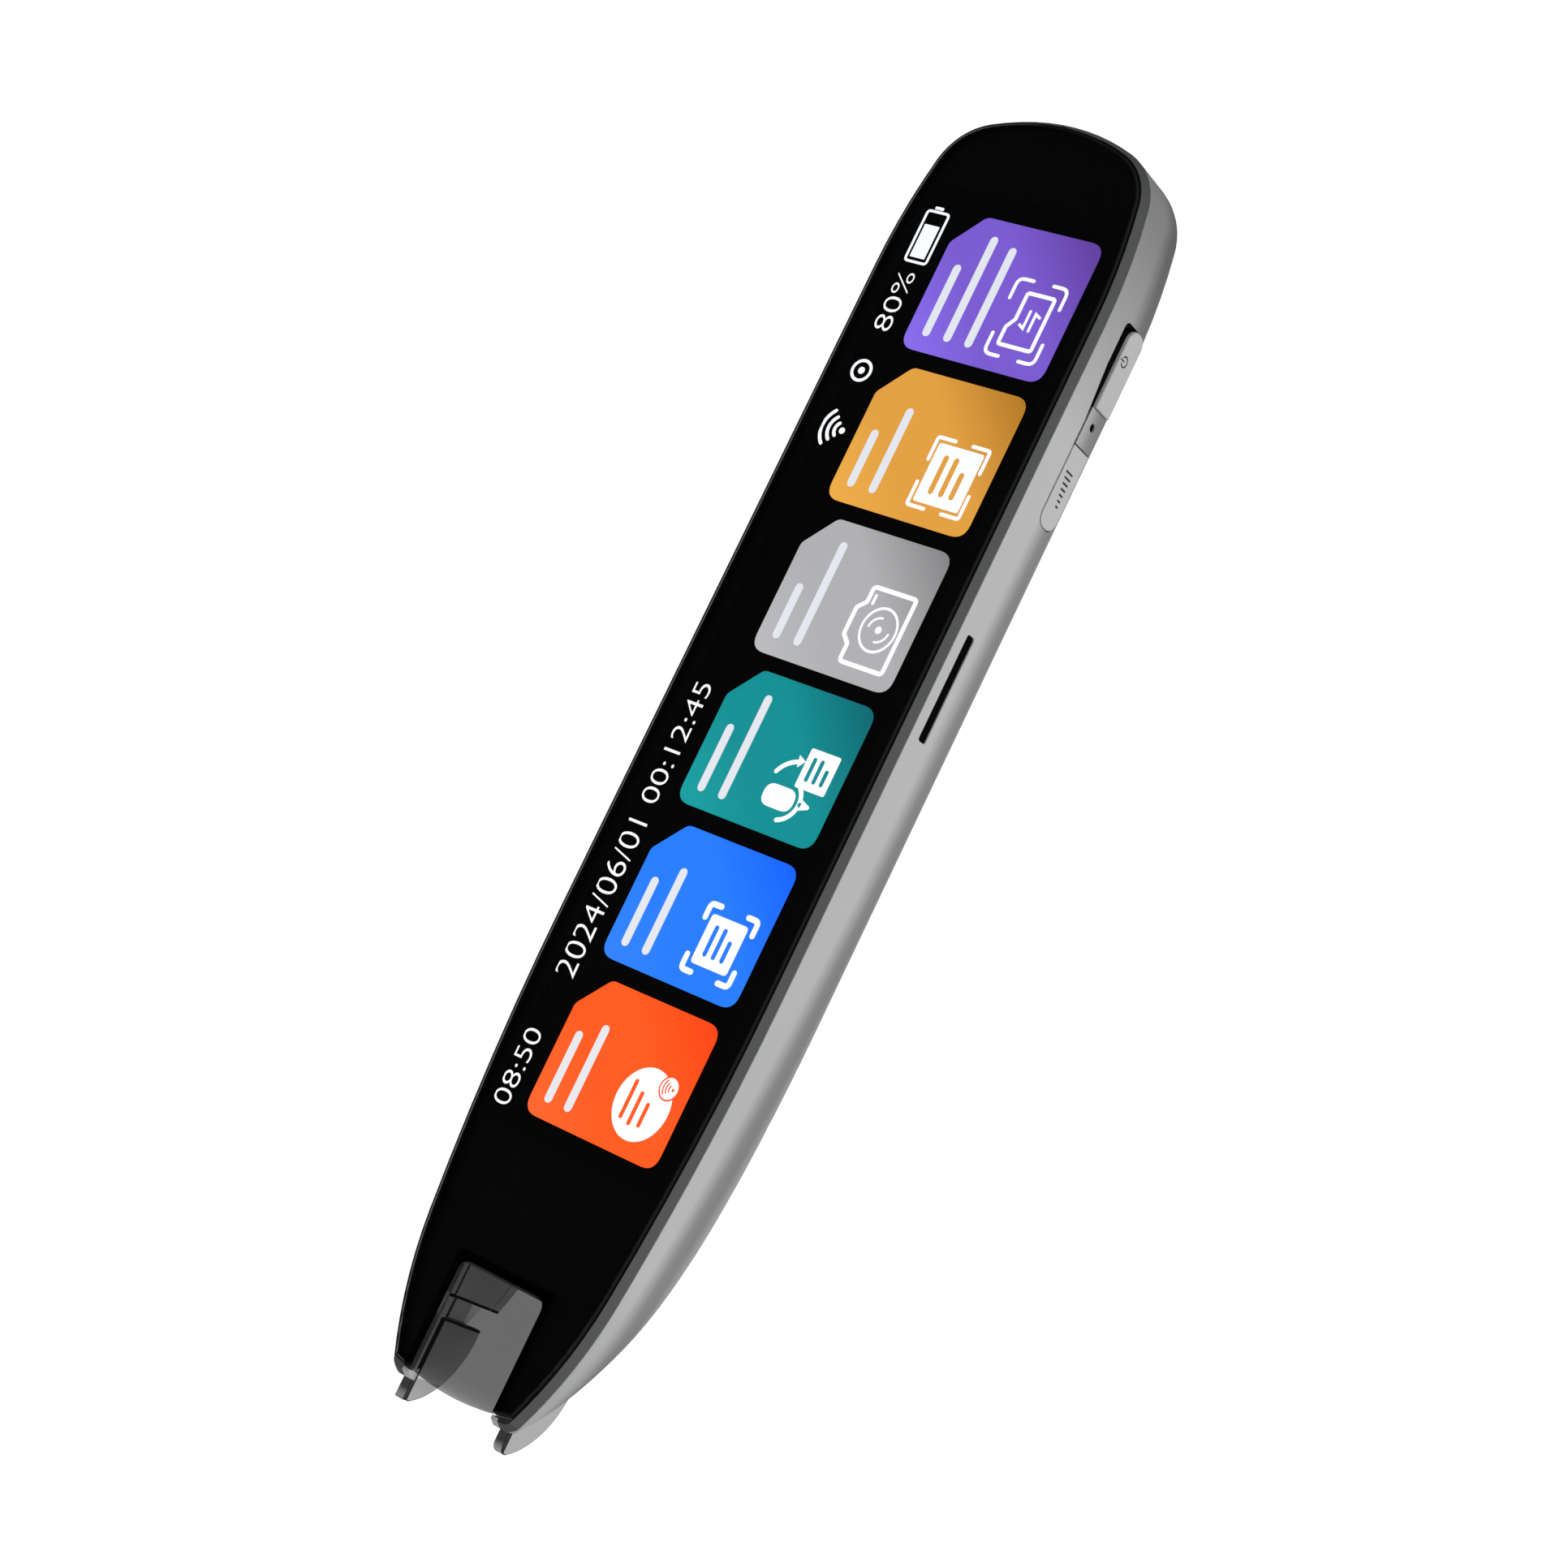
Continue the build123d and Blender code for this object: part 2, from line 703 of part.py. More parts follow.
with BuildPart() as scan_trigger:
    for turn in sides:
        outer_face = Plane.XZ.offset(-fin_outer if turn > 0 else fin_inner)
        with BuildSketch(outer_face) as fin:
            with BuildLine():
                Polyline(
                    (along(-fin_reach), level(fin_tip)),
                    (along(-fin_reach), level(fin_top)),
                    (along(fin_back), level(fin_top)),
                    (along(fin_back), level(fin_heel)),
                )
                ThreePointArc(
                    (along(fin_back), level(fin_heel)),
                    (along(fin_belly_place), level(fin_belly)),
                    (along(-fin_reach), level(fin_tip)),
                )
            make_face()
            fillet(fin.vertices().group_by(Axis.X)[0].sort_by(Axis.Z)[-1], 0.9)
        extrude(amount=fin_thickness)
        fillet(scan_trigger.edges(Select.LAST).filter_by(Axis.Y, reverse=True), fin_round)
        inner, outer = sorted((turn * (fin_outer - arm_thickness), turn * fin_outer))
        add(block(fin_back - 1, yoke_back, inner, outer, arm_top, arm_top + arm_height))
    add(block(yoke_front, yoke_back, -fin_outer, fin_outer, arm_top, arm_top + arm_height))
scan_trigger.part.label = "scan_trigger"
export_step(scan_trigger.part, "parts/scan_trigger.step")

with BuildPart() as trigger_springs:
    with BuildSketch(Plane.XY.offset(level(arm_top + arm_height / 2 + spring_height / 2))):
        for turn in sides:
            middle = turn * spring_place
            foot = along(tab_start - fit)
            with BuildLine():
                for strip in (0, spring_strip):
                    ThreePointArc(
                        (foot, middle - spring_half + strip),
                        (along(yoke_back + fit + strip), middle),
                        (foot, middle + spring_half - strip),
                    )
                for edge in (-spring_half, spring_half - spring_strip):
                    Line((foot, middle + edge), (foot, middle + edge + spring_strip))
            make_face()
    extrude(amount=spring_height)
trigger_springs.part.label = "trigger_springs"
export_step(trigger_springs.part, "parts/trigger_springs.step")

with BuildPart() as trigger_switch:
    plunger_face = yoke_back + trigger_travel + switch_gap
    switch_top = arm_top + (arm_height - trigger_switch_height) / 2
    add(
        block(
            plunger_face + plunger_reach,
            tab_start,
            -trigger_switch_half,
            trigger_switch_half,
            switch_top,
            switch_top + trigger_switch_height,
        )
    )
    add(
        block(
            plunger_face,
            plunger_face + plunger_reach,
            -plunger_half,
            plunger_half,
            switch_top + plunger_half,
            switch_top + trigger_switch_height - plunger_half,
        )
    )
trigger_switch.part.label = "trigger_switch"
export_step(trigger_switch.part, "parts/trigger_switch.step")

with BuildPart() as scan_camera:
    with BuildSketch(Plane.YZ.offset(along(bay_end - scan_lens_reach))):
        with Locations((0, level(scan_depth))):
            Circle(scan_barrel)
    extrude(amount=liner_end + fit - bay_end + scan_lens_reach)
    with BuildSketch(Plane.YZ.offset(along(bay_end - scan_lens_reach))):
        with Locations((0, level(scan_depth))):
            Circle(scan_barrel - 0.4)
    extrude(amount=0.3, taper=30, mode=Mode.SUBTRACT)
    add(
        block(
            liner_end + fit,
            liner_end + fit + scan_block_length,
            -scan_block_half,
            scan_block_half,
            scan_block_top,
            scan_block_top + scan_block_height,
        )
    )
scan_camera.part.label = "scan_camera"
export_step(scan_camera.part, "parts/scan_camera.step")

with BuildPart() as scan_leds:
    for turn in sides:
        add(
            block(
                bay_end - led_size / 2 - fit,
                bay_end - fit,
                turn * led_place - led_size / 2,
                turn * led_place + led_size / 2,
                scan_depth - led_size / 2,
                scan_depth + led_size / 2,
            )
        )
scan_leds.part.label = "scan_leds"
export_step(scan_leds.part, "parts/scan_leds.step")

with BuildPart() as scan_window:
    window_foot = channel_end + channel_lean + 0.6
    window_head = bay_end - 2 * fit
    with BuildSketch(Plane.XZ):
        with BuildLine():
            Polyline(
                (along(window_foot), level(ledge_depth + 0.1)),
                (along(window_head), level(ledge_depth + 2.2)),
                (along(window_head), level(ledge_depth + 2.2 + scan_window_thickness)),
                (along(window_foot), level(ledge_depth + 0.1 + scan_window_thickness)),
                close=True,
            )
        make_face()
    extrude(amount=channel_half - fit, both=True)
scan_window.part.label = "scan_window"
export_step(scan_window.part, "parts/scan_window.step")

# ================================================================ side keys
rocker_reach = (rocker_length - switch_half * 2) / 2
rocker_inner = button_face + rocker_reach * sin(radians(rocker_tilt)) + fit / 2
flange_top = strip_top - flange_overlap

with BuildPart() as power_key:
    with BuildSketch(Plane.XZ.offset(key_inner)):
        add(strip_segment(power_start, strip_end, key_gap, power_shadow))
    extrude(amount=half + key_proud - key_inner)
    fillet(power_key.faces().sort_by(Axis.Y)[0].edges(), key_crown)
    add(
        block(
            power_start,
            strip_end + flange_overlap,
            -flange_outer,
            -key_inner,
            flange_top,
            strip_depth,
        )
    )
power_key.part.label = "power_key"
export_step(power_key.part, "parts/power_key.step")

with BuildPart() as volume_key:
    with BuildSketch(Plane.XZ.offset(rocker_inner)):
        add(strip_segment(rocker_start - key_gap, rocker_end, key_gap, rocker_shadow))
    extrude(amount=half - rocker_inner)
    fillet(volume_key.faces().sort_by(Axis.Y)[0].edges(), key_crown / 2)
    hub_height = strip_height - key_gap - rocker_shadow
    with BuildSketch(Plane.XY.offset(level(strip_top + strip_height - key_gap))):
        with Locations((along(rocker_middle), -half + pivot_inset)):
            Circle(2 * pivot_radius)
    extrude(amount=hub_height)
    with BuildSketch(Plane.XY.offset(level(strip_depth + strip_height / 2))):
        with Locations((along(rocker_middle), -half + pivot_inset)):
            Circle(pivot_radius + fit)
    extrude(amount=strip_height, mode=Mode.SUBTRACT)
volume_key.part.label = "volume_key"
export_step(volume_key.part, "parts/volume_key.step")

with BuildPart() as rocker_pin:
    with BuildSketch(Plane.XY.offset(level(strip_depth + strip_height / 2 + ear_thickness))):
        with Locations((along(rocker_middle), -half + pivot_inset)):
            Circle(pivot_radius)
    extrude(amount=strip_height + 2 * ear_thickness)
rocker_pin.part.label = "rocker_pin"
export_step(rocker_pin.part, "parts/rocker_pin.step")

with BuildPart() as mic_bridge:
    with BuildSketch(Plane.XZ.offset(key_inner)):
        add(strip_segment(rocker_end + key_gap, power_start - key_gap, fit, rocker_shadow))
    extrude(amount=half - key_inner)
    add(
        block(
            rocker_end + key_gap,
            power_start - key_gap,
            -flange_outer,
            -key_inner,
            flange_top,
            strip_depth,
        )
    )
    with BuildSketch(Plane.XZ.offset(key_inner - 1)):
        with Locations((along(mic_place), level(strip_depth))):
            Circle(mic_bore)
    extrude(amount=wall + 3, mode=Mode.SUBTRACT)
mic_bridge.part.label = "mic_bridge"
export_step(mic_bridge.part, "parts/mic_bridge.step")

with BuildPart() as mic_boot:
    with BuildSketch(Plane.XZ.offset(button_face + fit / 2)):
        with Locations((along(mic_place), level(strip_depth))):
            Circle(mic_bore + 0.7)
            Circle(mic_bore, mode=Mode.SUBTRACT)
    extrude(amount=key_inner - button_face - fit)
mic_boot.part.label = "mic_boot"
export_step(mic_boot.part, "parts/mic_boot.step")

with BuildPart() as microphone:
    add(
        block(
            mic_place - 1.2,
            mic_place + 1.2,
            -button_face,
            -switch_foot,
            strip_depth - 1.2,
            strip_depth + 1.2,
        )
    )
microphone.part.label = "microphone"
export_step(microphone.part, "parts/microphone.step")

with BuildPart() as key_switches:
    switch_places = (
        rocker_middle - rocker_reach,
        rocker_middle + rocker_reach,
        (power_start + strip_end) / 2,
    )
    for place in switch_places:
        add(
            block(
                place - switch_half,
                place + switch_half,
                -switch_foot - switch_body,
                -switch_foot,
                strip_depth - switch_half,
                strip_depth + switch_half,
            )
        )
        with BuildSketch(Plane.XZ.offset(switch_foot + switch_body)):
            with Locations((along(place), level(strip_depth))):
                Circle(switch_half / 2)
        extrude(amount=switch_button)
key_switches.part.label = "key_switches"
export_step(key_switches.part, "parts/key_switches.step")

with BuildPart() as key_board:
    add(
        block(
            strip_start + 0.1,
            strip_end - 0.4,
            -switch_foot,
            -switch_foot + key_board_thickness,
            strip_depth - strip_height / 2 - 0.4,
            strip_depth + strip_height / 2,
        )
    )
key_board.part.label = "key_board"
export_step(key_board.part, "parts/key_board.step")

# ================================================================ card socket
card_mouth = -inner_half + 2 * fit
card_top = card_depth - card_shell / 2

with BuildPart() as card_socket:
    add(
        block(
            card_start - 0.6,
            card_start + card_width + 0.6,
            card_mouth,
            card_mouth + card_reach,
            card_top,
            card_top + card_shell,
        )
    )
    add(
        block(
            card_start + 0.2,
            card_start + card_width - 0.2,
            card_mouth - 1,
            card_mouth + card_reach - 1.2,
            card_depth - card_slot / 2 + 0.1,
            card_depth + card_slot / 2 - 0.1,
        ),
        mode=Mode.SUBTRACT,
    )
card_socket.part.label = "card_socket"
export_step(card_socket.part, "parts/card_socket.step")

with BuildPart() as card_board:
    add(
        block(
            card_start - 2,
            card_start + card_width + 2,
            card_mouth + 1,
            card_mouth + card_reach + 3,
            card_top + card_shell,
            card_top + card_shell + key_board_thickness,
        )
    )
card_board.part.label = "card_board"
export_step(card_board.part, "parts/card_board.step")

# ================================================================ battery and main board
with BuildPart() as battery_pad:
    with BuildSketch(Plane.XY.offset(battery_bed)):
        with Locations((along(battery_start + battery_length / 2), 0)):
            Rectangle(battery_length - 4, 2 * battery_half - 4)
    extrude(amount=pad_thickness)
battery_pad.part.label = "battery_pad"
export_step(battery_pad.part, "parts/battery_pad.step")

with BuildPart() as battery:
    with BuildSketch(Plane.XY.offset(battery_bed + pad_thickness)):
        with Locations((along(battery_start + battery_length / 2), 0)):
            Rectangle(battery_length, 2 * battery_half)
    extrude(amount=battery_thickness)
    fillet(battery.edges().filter_by(Axis.X), 1.2)
battery.part.label = "battery"
export_step(battery.part, "parts/battery.step")

with BuildPart() as main_board:
    with BuildSketch(Plane.XY.offset(level(board_top + board_thickness))):
        with Locations((along(board_start), 0)):
            Rectangle(board_tail_start - board_start, 2 * board_half, align=(Align.MIN, Align.CENTER))
            Rectangle(board_end - board_start, 2 * board_tail_half, align=(Align.MIN, Align.CENTER))
    extrude(amount=board_thickness)
main_board.part.label = "main_board"
export_step(main_board.part, "parts/main_board.step")

with BuildPart() as shield_can:
    can_top = chassis_under + fit
    shield_end = shield_start + shield_length
    add(block(shield_start, shield_end, -shield_half, shield_half, can_top, board_top))
    add(
        block(
            shield_start + shield_sheet,
            shield_end - shield_sheet,
            -shield_half + shield_sheet,
            shield_half - shield_sheet,
            can_top + shield_sheet,
            board_top,
        ),
        mode=Mode.SUBTRACT,
    )
shield_can.part.label = "shield_can"
export_step(shield_can.part, "parts/shield_can.step")

with BuildPart() as display_flex:
    panel_under = glass_thickness + glue + panel_thickness
    with BuildSketch(Plane.XZ):
        with BuildLine():
            Polyline(
                (along(display_start + display_length + fit), level(panel_under - flex_thickness)),
                (along(flex_place), level(panel_under - flex_thickness)),
                (along(flex_place), level(board_top)),
                (along(flex_place - flex_landing), level(board_top)),
                (along(flex_place - flex_landing), level(board_top - flex_thickness)),
                (along(flex_place - flex_thickness), level(board_top - flex_thickness)),
                (along(flex_place - flex_thickness), level(panel_under)),
                (along(display_start + display_length + fit), level(panel_under)),
                close=True,
            )
        make_face()
    extrude(amount=flex_half, both=True)
display_flex.part.label = "display_flex"
export_step(display_flex.part, "parts/display_flex.step")

with BuildPart() as antenna:
    add(
        block(
            shield_start,
            shield_start + antenna_length,
            inner_half - 2 * fit - antenna_thickness,
            inner_half - 2 * fit,
            antenna_top,
            antenna_bottom,
        )
    )
antenna.part.label = "antenna"
export_step(antenna.part, "parts/antenna.step")

# ================================================================ port, rear camera and speaker
with BuildPart() as usb_socket:
    with BuildSketch(Plane.YZ.offset(end_x - port_skin)):
        with Locations((0, level(port_middle))):
            RectangleRounded(port_width, port_height, port_height / 2 - 0.05)
    extrude(amount=-port_length)
    with BuildSketch(Plane.YZ.offset(end_x - port_skin)):
        with Locations((0, level(port_middle))):
            RectangleRounded(port_width - 0.6, port_height - 0.7, port_height / 2 - 0.4)
            Rectangle(port_width - 2.7, 0.7, mode=Mode.SUBTRACT)
    extrude(amount=1 - port_length, mode=Mode.SUBTRACT)
usb_socket.part.label = "usb_socket"
export_step(usb_socket.part, "parts/usb_socket.step")

with BuildPart() as camera_window:
    with BuildSketch(Plane.XY.offset(fit)):
        with Locations((along(camera_place), 0)):
            Circle(camera_window_radius)
    extrude(amount=camera_window_thickness)
camera_window.part.label = "camera_window"
export_step(camera_window.part, "parts/camera_window.step")

barrel_front = camera_window_thickness + 2 * fit

with BuildPart() as rear_camera:
    with BuildSketch(Plane.XY.offset(camera_block_bottom)):
        with Locations((along(camera_place), 0)):
            RectangleRounded(camera_block, camera_block, 0.6)
    extrude(amount=level(board_top + board_thickness + fit) - camera_block_bottom)
    with BuildSketch(Plane.XY.offset(barrel_front)):
        with Locations((along(camera_place), 0)):
            Circle(barrel_radius)
    extrude(amount=camera_block_bottom - barrel_front)
    # funnel and seat of the front lens
    with Locations((along(camera_place), 0, barrel_front)):
        Cone(
            funnel_radius,
            lens_radius + fit,
            funnel_depth,
            align=(Align.CENTER, Align.CENTER, Align.MIN),
            mode=Mode.SUBTRACT,
        )
        Cylinder(
            lens_radius + fit,
            funnel_depth + lens_depth,
            align=(Align.CENTER, Align.CENTER, Align.MIN),
            mode=Mode.SUBTRACT,
        )
rear_camera.part.label = "rear_camera"
export_step(rear_camera.part, "parts/rear_camera.step")

lens_front = barrel_front + funnel_depth - lens_dome
dome_radius = (lens_radius ** 2 + lens_dome ** 2) / (2 * lens_dome)

with BuildPart() as rear_lens:
    with Locations((along(camera_place), 0, lens_front)):
        Cylinder(lens_radius, lens_depth + lens_dome, align=(Align.CENTER, Align.CENTER, Align.MIN))
    with Locations((along(camera_place), 0, lens_front + dome_radius)):
        Sphere(dome_radius, mode=Mode.INTERSECT)
rear_lens.part.label = "rear_lens"
export_step(rear_lens.part, "parts/rear_lens.step")

mesh_bottom = wall + fit / 2
mesh_top = mesh_bottom + 0.12
gasket_top = mesh_top + 0.36

with BuildPart() as speaker_mesh:
    with BuildSketch(Plane.XY.offset(mesh_bottom)):
        with Locations((along(speaker_place), 0)):
            Circle(speaker_radius + 0.25)
    extrude(amount=mesh_top - mesh_bottom)
speaker_mesh.part.label = "speaker_mesh"
export_step(speaker_mesh.part, "parts/speaker_mesh.step")

with BuildPart() as speaker_gasket:
    with BuildSketch(Plane.XY.offset(mesh_top)):
        with Locations((along(speaker_place), 0)):
            Circle(speaker_radius)
            Circle(speaker_radius - 1, mode=Mode.SUBTRACT)
    extrude(amount=gasket_top - mesh_top)
speaker_gasket.part.label = "speaker_gasket"
export_step(speaker_gasket.part, "parts/speaker_gasket.step")

with BuildPart() as speaker:
    with BuildSketch(Plane.XY.offset(gasket_top)):
        with Locations((along(speaker_place), 0)):
            Circle(speaker_radius)
    extrude(amount=speaker_thickness)
    with BuildSketch(Plane.XY.offset(gasket_top + speaker_thickness)):
        with Locations((along(speaker_place), 0)):
            Circle(0.6 * speaker_radius)
    extrude(amount=level(board_top + board_thickness) - gasket_top - speaker_thickness - 0.4)
speaker.part.label = "speaker"
export_step(speaker.part, "parts/speaker.step")
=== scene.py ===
"""Looks of the handheld scanning translator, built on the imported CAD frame.

Metres, in the frame of the part: the body lies on its back, +Z out of the screen and +X from the
scanning nose to the top end. Places on the body are written in millimetres as (s, y), where s runs
from the nose end of the housing along +X, and are turned into metres by at() and x_at().
"""
import json
from math import cos, pi, radians, sin, tan

import bpy
import bmesh
from mathutils import Matrix, Vector


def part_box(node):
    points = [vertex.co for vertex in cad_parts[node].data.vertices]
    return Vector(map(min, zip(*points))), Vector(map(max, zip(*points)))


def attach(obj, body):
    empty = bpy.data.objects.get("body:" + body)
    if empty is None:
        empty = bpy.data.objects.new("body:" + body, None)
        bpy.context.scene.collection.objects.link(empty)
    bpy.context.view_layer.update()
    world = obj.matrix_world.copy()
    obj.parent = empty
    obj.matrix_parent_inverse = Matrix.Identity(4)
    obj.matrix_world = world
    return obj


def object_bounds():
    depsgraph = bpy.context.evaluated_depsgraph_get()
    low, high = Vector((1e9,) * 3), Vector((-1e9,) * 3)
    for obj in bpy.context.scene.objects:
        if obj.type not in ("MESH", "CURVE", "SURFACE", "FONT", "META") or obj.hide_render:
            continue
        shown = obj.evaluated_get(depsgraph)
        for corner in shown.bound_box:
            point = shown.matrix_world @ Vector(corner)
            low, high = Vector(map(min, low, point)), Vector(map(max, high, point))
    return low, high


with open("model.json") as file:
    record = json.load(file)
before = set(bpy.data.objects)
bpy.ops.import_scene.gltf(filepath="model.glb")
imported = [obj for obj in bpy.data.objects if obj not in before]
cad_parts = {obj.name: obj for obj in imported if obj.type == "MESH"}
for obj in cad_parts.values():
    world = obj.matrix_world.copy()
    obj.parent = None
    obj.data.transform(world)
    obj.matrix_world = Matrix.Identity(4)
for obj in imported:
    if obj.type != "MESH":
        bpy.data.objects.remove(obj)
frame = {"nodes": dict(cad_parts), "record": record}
cad_low, cad_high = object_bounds()

MM = 0.001
SLOTS = {row["node"]: row["material_slot"] for row in frame["record"]["subparts"]}

# ------------------------------ places taken from the frame
housing_low, housing_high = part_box("rear_housing")
glass_low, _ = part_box("front_glass")
panel_low, panel_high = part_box("display_panel")
window_low, window_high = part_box("camera_window")
power_low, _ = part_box("power_key")
volume_low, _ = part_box("volume_key")
mesh_low, mesh_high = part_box("speaker_mesh")

NOSE_X = housing_low.x
TOP_X = housing_high.x
CAMERA_X = (window_low.x + window_high.x) / 2
SPEAKER_X = (mesh_low.x + mesh_high.x) / 2

# ------------------------------ sizes in millimetres
CHANNEL_HALF = 5.63          # half the scanning channel
CHANNEL_END = 12.6
FIN_HEEL = 6.8
FIN_TIP = -2.2
POCKET_END = 9.0             # of the pockets beside the channel, which the fins slide into
WINDOW_LOW = -5.1            # the clear window in the print lies over the channel, a little to +Y
WINDOW_HIGH = 6.15
WINDOW_END = 12.85
WINDOW_CORNER = 1.3
CAMERA_OPENING = 2.3         # radius of the clear middle of the rear camera's window
GRILLE_RADIUS = 7.92
DIMPLE = 0.045               # radius of a dimple, as a share of the grille's
SIDE_MIDDLE = 8.1            # the side rolls into the back round a line at this y and height
ROLL_HEIGHT = 6.5
ROLL_RADIUS = 6.5

PRINT_THICKNESS = 0.012
CLOSE = 0.002                # gap between two faces that would otherwise share a plane
SHARP = 0.01                 # radius of a corner that looks sharp
LOWER_FACE = 0.02            # the glass's lower face has all its points within this height
DISPLAY_INSET = 0.35         # the print covers this much of the panel's edge
DISPLAY_CORNER = 1.0
SHEET = 0.012                # thickness of one layer of the picture on the panel
LAYER = 0.014                # from one layer of the picture to the next
TILE_CORNER = 1.7
TILE_CUT_ALONG = 3.6
TILE_CUT_ACROSS = 3.0
TILE_CUT_CORNER = 1.1
LABEL_HEIGHT = 0.95
NUMBER_SLIMMING = -0.012     # makes the numbers a little thinner than the font
MARK_THICKNESS = 0.02        # of the symbols on the keys
MARK_PROUD = 0.2             # share of that thickness that stands out of the key

# ------------------------------ where paint, painted shade and painted light end, in millimetres
SKIN = 0.15                  # deeper than this under the rolled surface, a face is an inner one
SIDE_CUTS = (60.0, 126.4)    # the card slot and the keys lie between these places along the body
BACK_CUTS = (100.0, 132.0)   # and the camera and the grille between these
KEY_DEPTH = 0.22             # a key's side is painted black, as shade in its slot, from this far behind its face
PALE_WALLS = (0.9, 17.0)     # the walls of the channel, painted pale as painted light, along the body
PALE_HALF = 7.6
PALE_OVER = 0.01             # they reach this far over the lower face of the glass
SHADOW_ALONG = (-0.05, 0.28)    # the painted shadow line at the end of a pocket, from that end
SHADOW_ACROSS = (-0.05, 0.02)   # and from the channel's wall
DIMPLE_HEIGHT = 0.05         # the dimples are painted on faces lower than this
INWARD = 1.0                 # on an inner face, place times normal is below minus this
NOTCH_LENGTH = 1.2
NOTCH_ACROSS = (-0.5, 0.2)
LAND_HEIGHT = 13.3           # the bezel's land beside the glass is higher than this
LAND_SIDE = -5.0             # and painted black, as shade, up to this y
NOSE_RISE = 2.9              # the painted shade on the rolled sides lies this much higher at the nose
RISE_FADE = (4.0, 62.0)      # and comes down between these places
NOSE_FADE = (5.0, 19.0)
TOP_FADE = (112.0, 136.0)
HEEL_GAP = 0.1               # the painted glow for scattered light in a pocket starts this far behind the heel
POCKET_GAP = 0.3             # and ends this far past the pocket
POCKET_SIDES = (CHANNEL_HALF + 0.2, 7.7)
RIM_LINE = 0.1               # half the painted shadow line along the frame's lower edge
RIM_OVER_FIN = 12.45         # height that the line reaches over a fin
RIM_OVER_WALL = 12.2
NUB_LENGTH = 0.85            # the frame's corners at the nose, painted pale as a highlight
NUB_HALF = 6.5
FIN_INNER = 6.05             # the fins' inner faces lie within this y
FIN_INNER_START = 0.3
FIN_CREASE = 11.3            # the painted shadow line along a fin's upper edge starts at this height
TIP_FADE = (1.2, 0.5)        # the painted highlight on the rounded tip fades out between these, from the fin's tip
HEEL_LINE = (-0.3, 0.05)     # the painted shadow line at the heel, from the fin's heel
SMOKE_MARGIN = 0.9           # the tint of the glass goes on under the print for this much
SMOKE_MARGIN_HIGH = 0.3
RIM_FADE = (0.3, 2.6)        # the tint fades in between these places at the nose

# how much of a face's normal lies along an axis
SQUARE = 0.9                 # a face that is nearly square to the axis
FIN_EDGE_LEAN = 0.75
CREASE_LEAN = 0.22
HEEL_LEAN = 0.2
GLASS_EDGE = (-0.5, 0.998)   # the upward share on the rounded edge of the glass
BACK_EDGE_FADE = (0.04, 0.2)

# ------------------------------ colours, in linear light
WHITE = (1.0, 1.0, 1.0, 1.0)
SHELL = (0.45, 0.455, 0.453)
KEY = (0.46, 0.465, 0.463)
BEZEL = (0.055, 0.057, 0.058)
TRIGGER = (0.39, 0.39, 0.388)
# painted light and shade on the fins: their lit inner faces, and their shaded faces towards the top and nose
FIN_INSIDE_LIT = (0.7, 0.7, 0.695)
FIN_TOP_SHADE = (0.035, 0.035, 0.035)
# painted light: the pale walls of the scanning channel
CHANNEL_LIT = (0.9, 0.9, 0.895)
# painted highlight on the frame's corners at the nose
NUB_HIGHLIGHT = (0.45, 0.45, 0.45)
# painted shade: the black of slots, gaps, recesses and shadow lines
SHADE_BLACK = (0.004, 0.004, 0.004)
SMOKE = (0.37, 0.37, 0.37)   # of each face of the glass over the scanning window
RIM_SMOKE = (0.56, 0.56, 0.56)
GLASS_SHEEN = 0.45           # share of a plain glass's reflection, as the cover glass is coated
BACK_EDGE_HIGHLIGHT = (0.18, 0.18, 0.18)   # painted highlight on the glass's rounded edge on the side away from the keys
# painted reflection on the rounded edge of the glass: dark with a grey line, from its side to its face
EDGE_REFLECTION = ((0.0, 0.003), (0.45, 0.006), (0.75, 0.02), (1.0, 0.008))
# painted shade on the shell: its tone over its height, from the back to the face, and at its two ends
ROLL_SHADE = ((0.0, 1.0), (0.12, 0.95), (0.34, 0.45), (0.44, 0.5), (0.6, 1.0), (1.0, 1.0))
TOP_END_SHADE = 0.46
NOSE_SHADE = 0.78
# painted light: how strongly the pockets' walls glow, and how much more the fins' arms do
POCKET_GLOW = 0.25
ARM_SHARE = 2.2
# rings of dimples: share of the grille's radius, then pitch and start in degrees
DIMPLE_RINGS = ((0.84, 15.0, 0.0), (1.0, 45.0, 22.5))
# painted shade in the dimples
DIMPLE_SHADE = 0.85
DIMPLE_DEPTH = 6.0           # in heights of the plastic's grain

# ------------------------------ materials' own spread
NOISE = (0.3, 0.7)           # most of a noise's values lie between these
FINE_SHARE = 0.45            # of the tone, and the rest is the slow noise
TONE_SPREAD = 0.06
GLOSS_SPREAD = 0.05

# ------------------------------ stage, light and camera
FLOOR_RADIUS = 1.5
COVE_RADIUS = 0.5
WALL_HEIGHT = 1.0
FLOOR_SIDES = 96
FLOOR_DROP = 0.03            # millimetres under the back, so that the two don't share a plane
BACKDROP = (0.3, 0.3, 0.3)
BACKDROP_GLOW = 0.95         # added for the camera and through glass, so that the stage shows white
MIRRORED_GLOW = 0.2          # share of it that surfaces reflect
# each lamp: where it comes from, its strength and how many degrees wide it is
SUNS = {
    "key_light": ((-0.12, -0.9, 0.38), 2.5, 65),
    "back_light": ((-0.3, 0.9, 0.2), 1.9, 60),
    "low_light": ((0.0, -0.15, -1.0), 0.25, 110),
}
